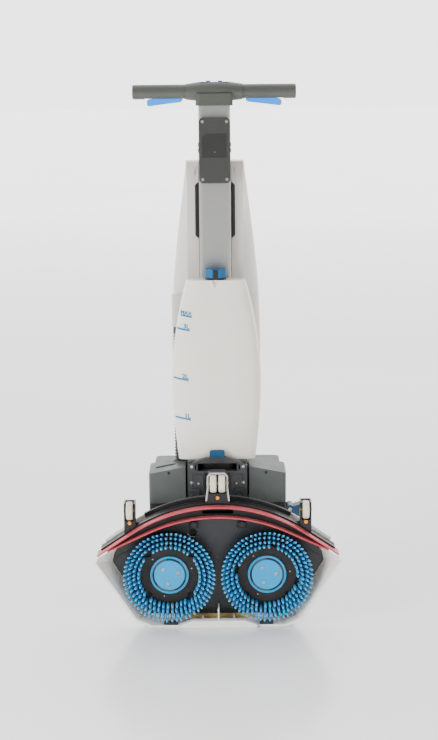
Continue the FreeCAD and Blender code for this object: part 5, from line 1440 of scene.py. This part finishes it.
@dataclass
class SuctionHose:
    """Corrugated hose from the housing round the fold axis and on to the deck."""

    x: float = -56.0
    level: float = 200.0
    fold_y: float = 30.0
    top_z: float = 230.0
    clip_y: float = -25.0
    deck_y: float = -124.0
    bend: float = 24.0
    crest: float = 12.9
    root: float = 10.9
    pitch: float = 5.2
    sides: int = 28

    def build(self) -> None:
        """Builds both lengths, each along a smooth route."""
        upper = self.length_of("suction_hose_upper_ribbed", [
            (self.x, self.fold_y, self.top_z), (self.x, self.fold_y, self.level + self.bend),
            (self.x, self.fold_y, self.level + 4.0), (self.x, self.fold_y - self.bend + 4.0, self.level),
            (self.x, self.fold_y - 1.35 * self.bend, self.level), (self.x, self.clip_y, self.level)])
        self.hang(upper, "suction_hose_upper")
        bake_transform(upper)
        lower = self.length_of("suction_hose_lower_ribbed", [
            (self.x, self.clip_y, self.level), (self.x, self.clip_y - 33.0, self.level),
            (self.x, self.clip_y - 66.0, self.level), (self.x, self.deck_y, self.level)])
        self.hang(lower, "suction_hose_lower")
        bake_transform(lower)

    def hang(self, piece: Piece, node: str) -> None:
        """Paints one length and hides the node it stands for.

        Args:
            piece: the length of hose.
            node: the node it stands for.
        """
        piece.data.materials.clear()
        piece.data.materials.append(Paint.HOSE.material())
        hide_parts(node)

    def length_of(self, name: str, points: list[Point]) -> Piece:
        """Corrugated tube along a smooth route.

        Args:
            name: object name.
            points: control points in millimetres.

        Returns:
            The tube.
        """
        route = self.smoothed(points)
        reach = [0.0]
        for a, b in zip(route, route[1:]):
            reach.append(reach[-1] + (b - a).length)
        rings = max(8, round(reach[-1] / (self.pitch * MM)) * 4)
        tube = bmesh.new()
        previous = None
        for i in range(rings + 1):
            s = reach[-1] * i / rings
            k = min(max(j for j in range(len(reach)) if reach[j] <= s + 1e-9), len(route) - 2)
            share = (s - reach[k]) / max(1e-9, reach[k + 1] - reach[k])
            groove = i % 4 in (1, 2) and 2 <= i <= rings - 2
            ring = self.ring(tube, route[k].lerp(route[k + 1], min(1.0, share)),
                             (route[k + 1] - route[k]).normalized(), self.root if groove else self.crest)
            if previous:
                for j in range(self.sides):
                    after = (j + 1) % self.sides
                    tube.faces.new((previous[j], previous[after], ring[after], ring[j]))
            else:
                tube.faces.new(list(reversed(ring)))
            previous = ring
        tube.faces.new(previous)
        bmesh.ops.recalc_face_normals(tube, faces=tube.faces)
        data = bpy.data.meshes.new(name)
        tube.to_mesh(data)
        tube.free()
        return Bench.smooth(Bench.placed(name, data), 60.0)

    def smoothed(self, points: list[Point]) -> list[Vector]:
        """Close points on a smooth curve.

        Args:
            points: control points in millimetres.

        Returns:
            The points in metres.
        """
        curve = bpy.data.curves.new("route", "CURVE")
        curve.dimensions = "3D"
        spline = curve.splines.new("NURBS")
        spline.points.add(len(points) - 1)
        for point, place in zip(spline.points, points):
            point.co = (*(c * MM for c in place), 1.0)
        spline.order_u = 3
        spline.use_endpoint_u = True
        curve.resolution_u = 24
        line = bpy.data.objects.new("route", curve)
        mesh = bpy.data.meshes.new_from_object(line)
        route = [vertex.co.copy() for vertex in mesh.vertices]
        bpy.data.meshes.remove(mesh)
        bpy.data.objects.remove(line)
        return route

    def ring(self, tube: bmesh.types.BMesh, centre: Vector, ahead: Vector, radius: float) -> list:
        """One ring of the tube's points.

        Args:
            tube: the mesh under construction.
            centre: middle of the ring, in metres.
            ahead: direction of the route.
            radius: radius in millimetres.

        Returns:
            The new points, in order.
        """
        across = Vector((1, 0, 0))
        upward = ahead.cross(across).normalized()
        ring = []
        for j in range(self.sides):
            turn = 2 * math.pi * j / self.sides
            out = across * math.cos(turn) + upward * math.sin(turn)
            ring.append(tube.verts.new(centre + radius * MM * out))
        return ring


# ------------------------------------------------------------------ studio
@dataclass
class Studio:
    """Floor, lights and camera."""

    distance: float = 3.5
    height: float = 1.1577
    tilt: float = 10.0
    roll: float = -0.5
    lens: float = 77.0
    aim_x: float = 0.0055
    floor_glow: float = 1.0
    front_light: float = 0.42
    back_light: float = 3.3
    lights: tuple[tuple[str, Point, Point, float, float], ...] = field(default=(
        ("key", (-2.8, -2.0, 2.2), (0.0, 0.0, 0.6), 1.4, 84.0),
        ("fill", (2.8, -2.2, 1.6), (0.0, 0.0, 0.5), 2.4, 3.0),
        ("low_left", (-2.0, -2.0, 0.6), (0.1, 0.0, 0.1), 1.2, 60.0),
        ("low_right", (2.0, -2.0, 0.6), (-0.1, 0.0, 0.1), 1.2, 36.0),
        ("top", (0.0, 0.4, 3.4), (0.0, 0.0, 0.4), 2.4, 20.0),
        ("rear", (0.6, 2.8, 1.8), (0.0, 0.0, 0.6), 2.4, 20.0),
    ))

    def build(self) -> None:
        """Sets up the studio."""
        self.floor()
        self.world()
        for name, place, target, size, power in self.lights:
            self.lamp(name, place, target, size, power)
        self.camera()

    def floor(self) -> None:
        """Large pale floor with a faint polish."""
        Bench.clear()
        bpy.ops.mesh.primitive_plane_add(size=240.0, location=(0, 0, -0.0005))
        floor = Bench.settle(bpy.context.object, "studio_floor")
        graph = Graph("floor_white")
        cloud = graph.noise(0.6, 2.0)
        colour = graph.mix(cloud, (0.86, 0.86, 0.86), (0.88, 0.88, 0.88))
        rough = graph.ramp(cloud, 0.3, 0.7, 0.16, 0.20)
        graph.fill(graph.shader, {"Specular IOR Level": 0.35, "Emission Color": (1.0, 1.0, 1.0, 1.0)})
        far = graph.ramp(graph.along("Y"), 1.0, 12.0, 0.0, self.floor_glow)
        graph.link(far, graph.shader.inputs["Emission Strength"])
        floor.data.materials.append(graph.finish(colour, rough, graph.bump(graph.noise(3.0), 0.01, 0.0002)))

    def world(self) -> None:
        """White surroundings, brighter behind the machine than in front of it."""
        world = bpy.data.worlds.new("surround")
        world.use_nodes = True
        tree = world.node_tree
        background = tree.nodes["Background"]
        Graph.fill(background, {"Color": (1.0, 1.0, 1.0, 1.0)})
        direction = tree.nodes.new("ShaderNodeTexCoord")
        parts = tree.nodes.new("ShaderNodeSeparateXYZ")
        fade = tree.nodes.new("ShaderNodeMapRange")
        Graph.fill(fade, {"From Min": -0.3, "From Max": 0.8, "To Min": self.front_light,
                          "To Max": self.back_light})
        tree.links.new(direction.outputs["Generated"], parts.inputs[0])
        tree.links.new(parts.outputs["Y"], fade.inputs["Value"])
        tree.links.new(fade.outputs[0], background.inputs["Strength"])
        bpy.context.scene.world = world

    def lamp(self, name: str, place: Point, target: Point, size: float, power: float) -> None:
        """One square soft light.

        Args:
            name: name of the light.
            place: where it stands, in metres.
            target: what it faces.
            size: its width.
            power: its power in watts.
        """
        light = bpy.data.lights.new("light_" + name, "AREA")
        light.shape = "SQUARE"
        light.size = size
        light.energy = power
        lamp = Bench.placed("light_" + name, light)
        lamp.location = place
        lamp.visible_glossy = name == "top"
        lamp.rotation_euler = (Vector(target) - Vector(place)).to_track_quat("-Z", "Y").to_euler()

    def camera(self) -> None:
        """Camera in front of the machine, level with the handle and tipped down."""
        data = bpy.data.cameras.new("camera")
        data.lens = self.lens
        data.sensor_width = 36.0
        data.sensor_fit = "AUTO"
        data.clip_end = 100.0
        camera = Bench.placed("camera", data)
        pitch = Matrix.Rotation(math.radians(90.0 - self.tilt), 4, "X")
        aim = pitch @ Matrix.Rotation(math.radians(self.roll), 4, "Z")
        camera.matrix_world = Matrix.Translation((self.aim_x, -self.distance, self.height)) @ aim
        bpy.context.scene.camera = camera


def main() -> None:
    """Builds the dressed scrubber piece by piece."""
    logging.basicConfig(level=logging.INFO, format="%(name)s %(message)s")
    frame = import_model()
    Studio().build()
    carried = Carried(frame)
    Upright(carried).build()
    SolutionTank(carried).build()
    RecoveryTank(carried).build()
    Base(carried).build()
    Deck(carried).build()
    SuctionHose().build()
    Squeegee(carried).build()
    Brush(carried, "left", -107.0, (16.0, 136.0, 256.0)).build()
    Brush(carried, "right", 107.0, (6.0, 126.0, 246.0), notch_angle=80.0).build()


if __name__ == "__main__":
    main()
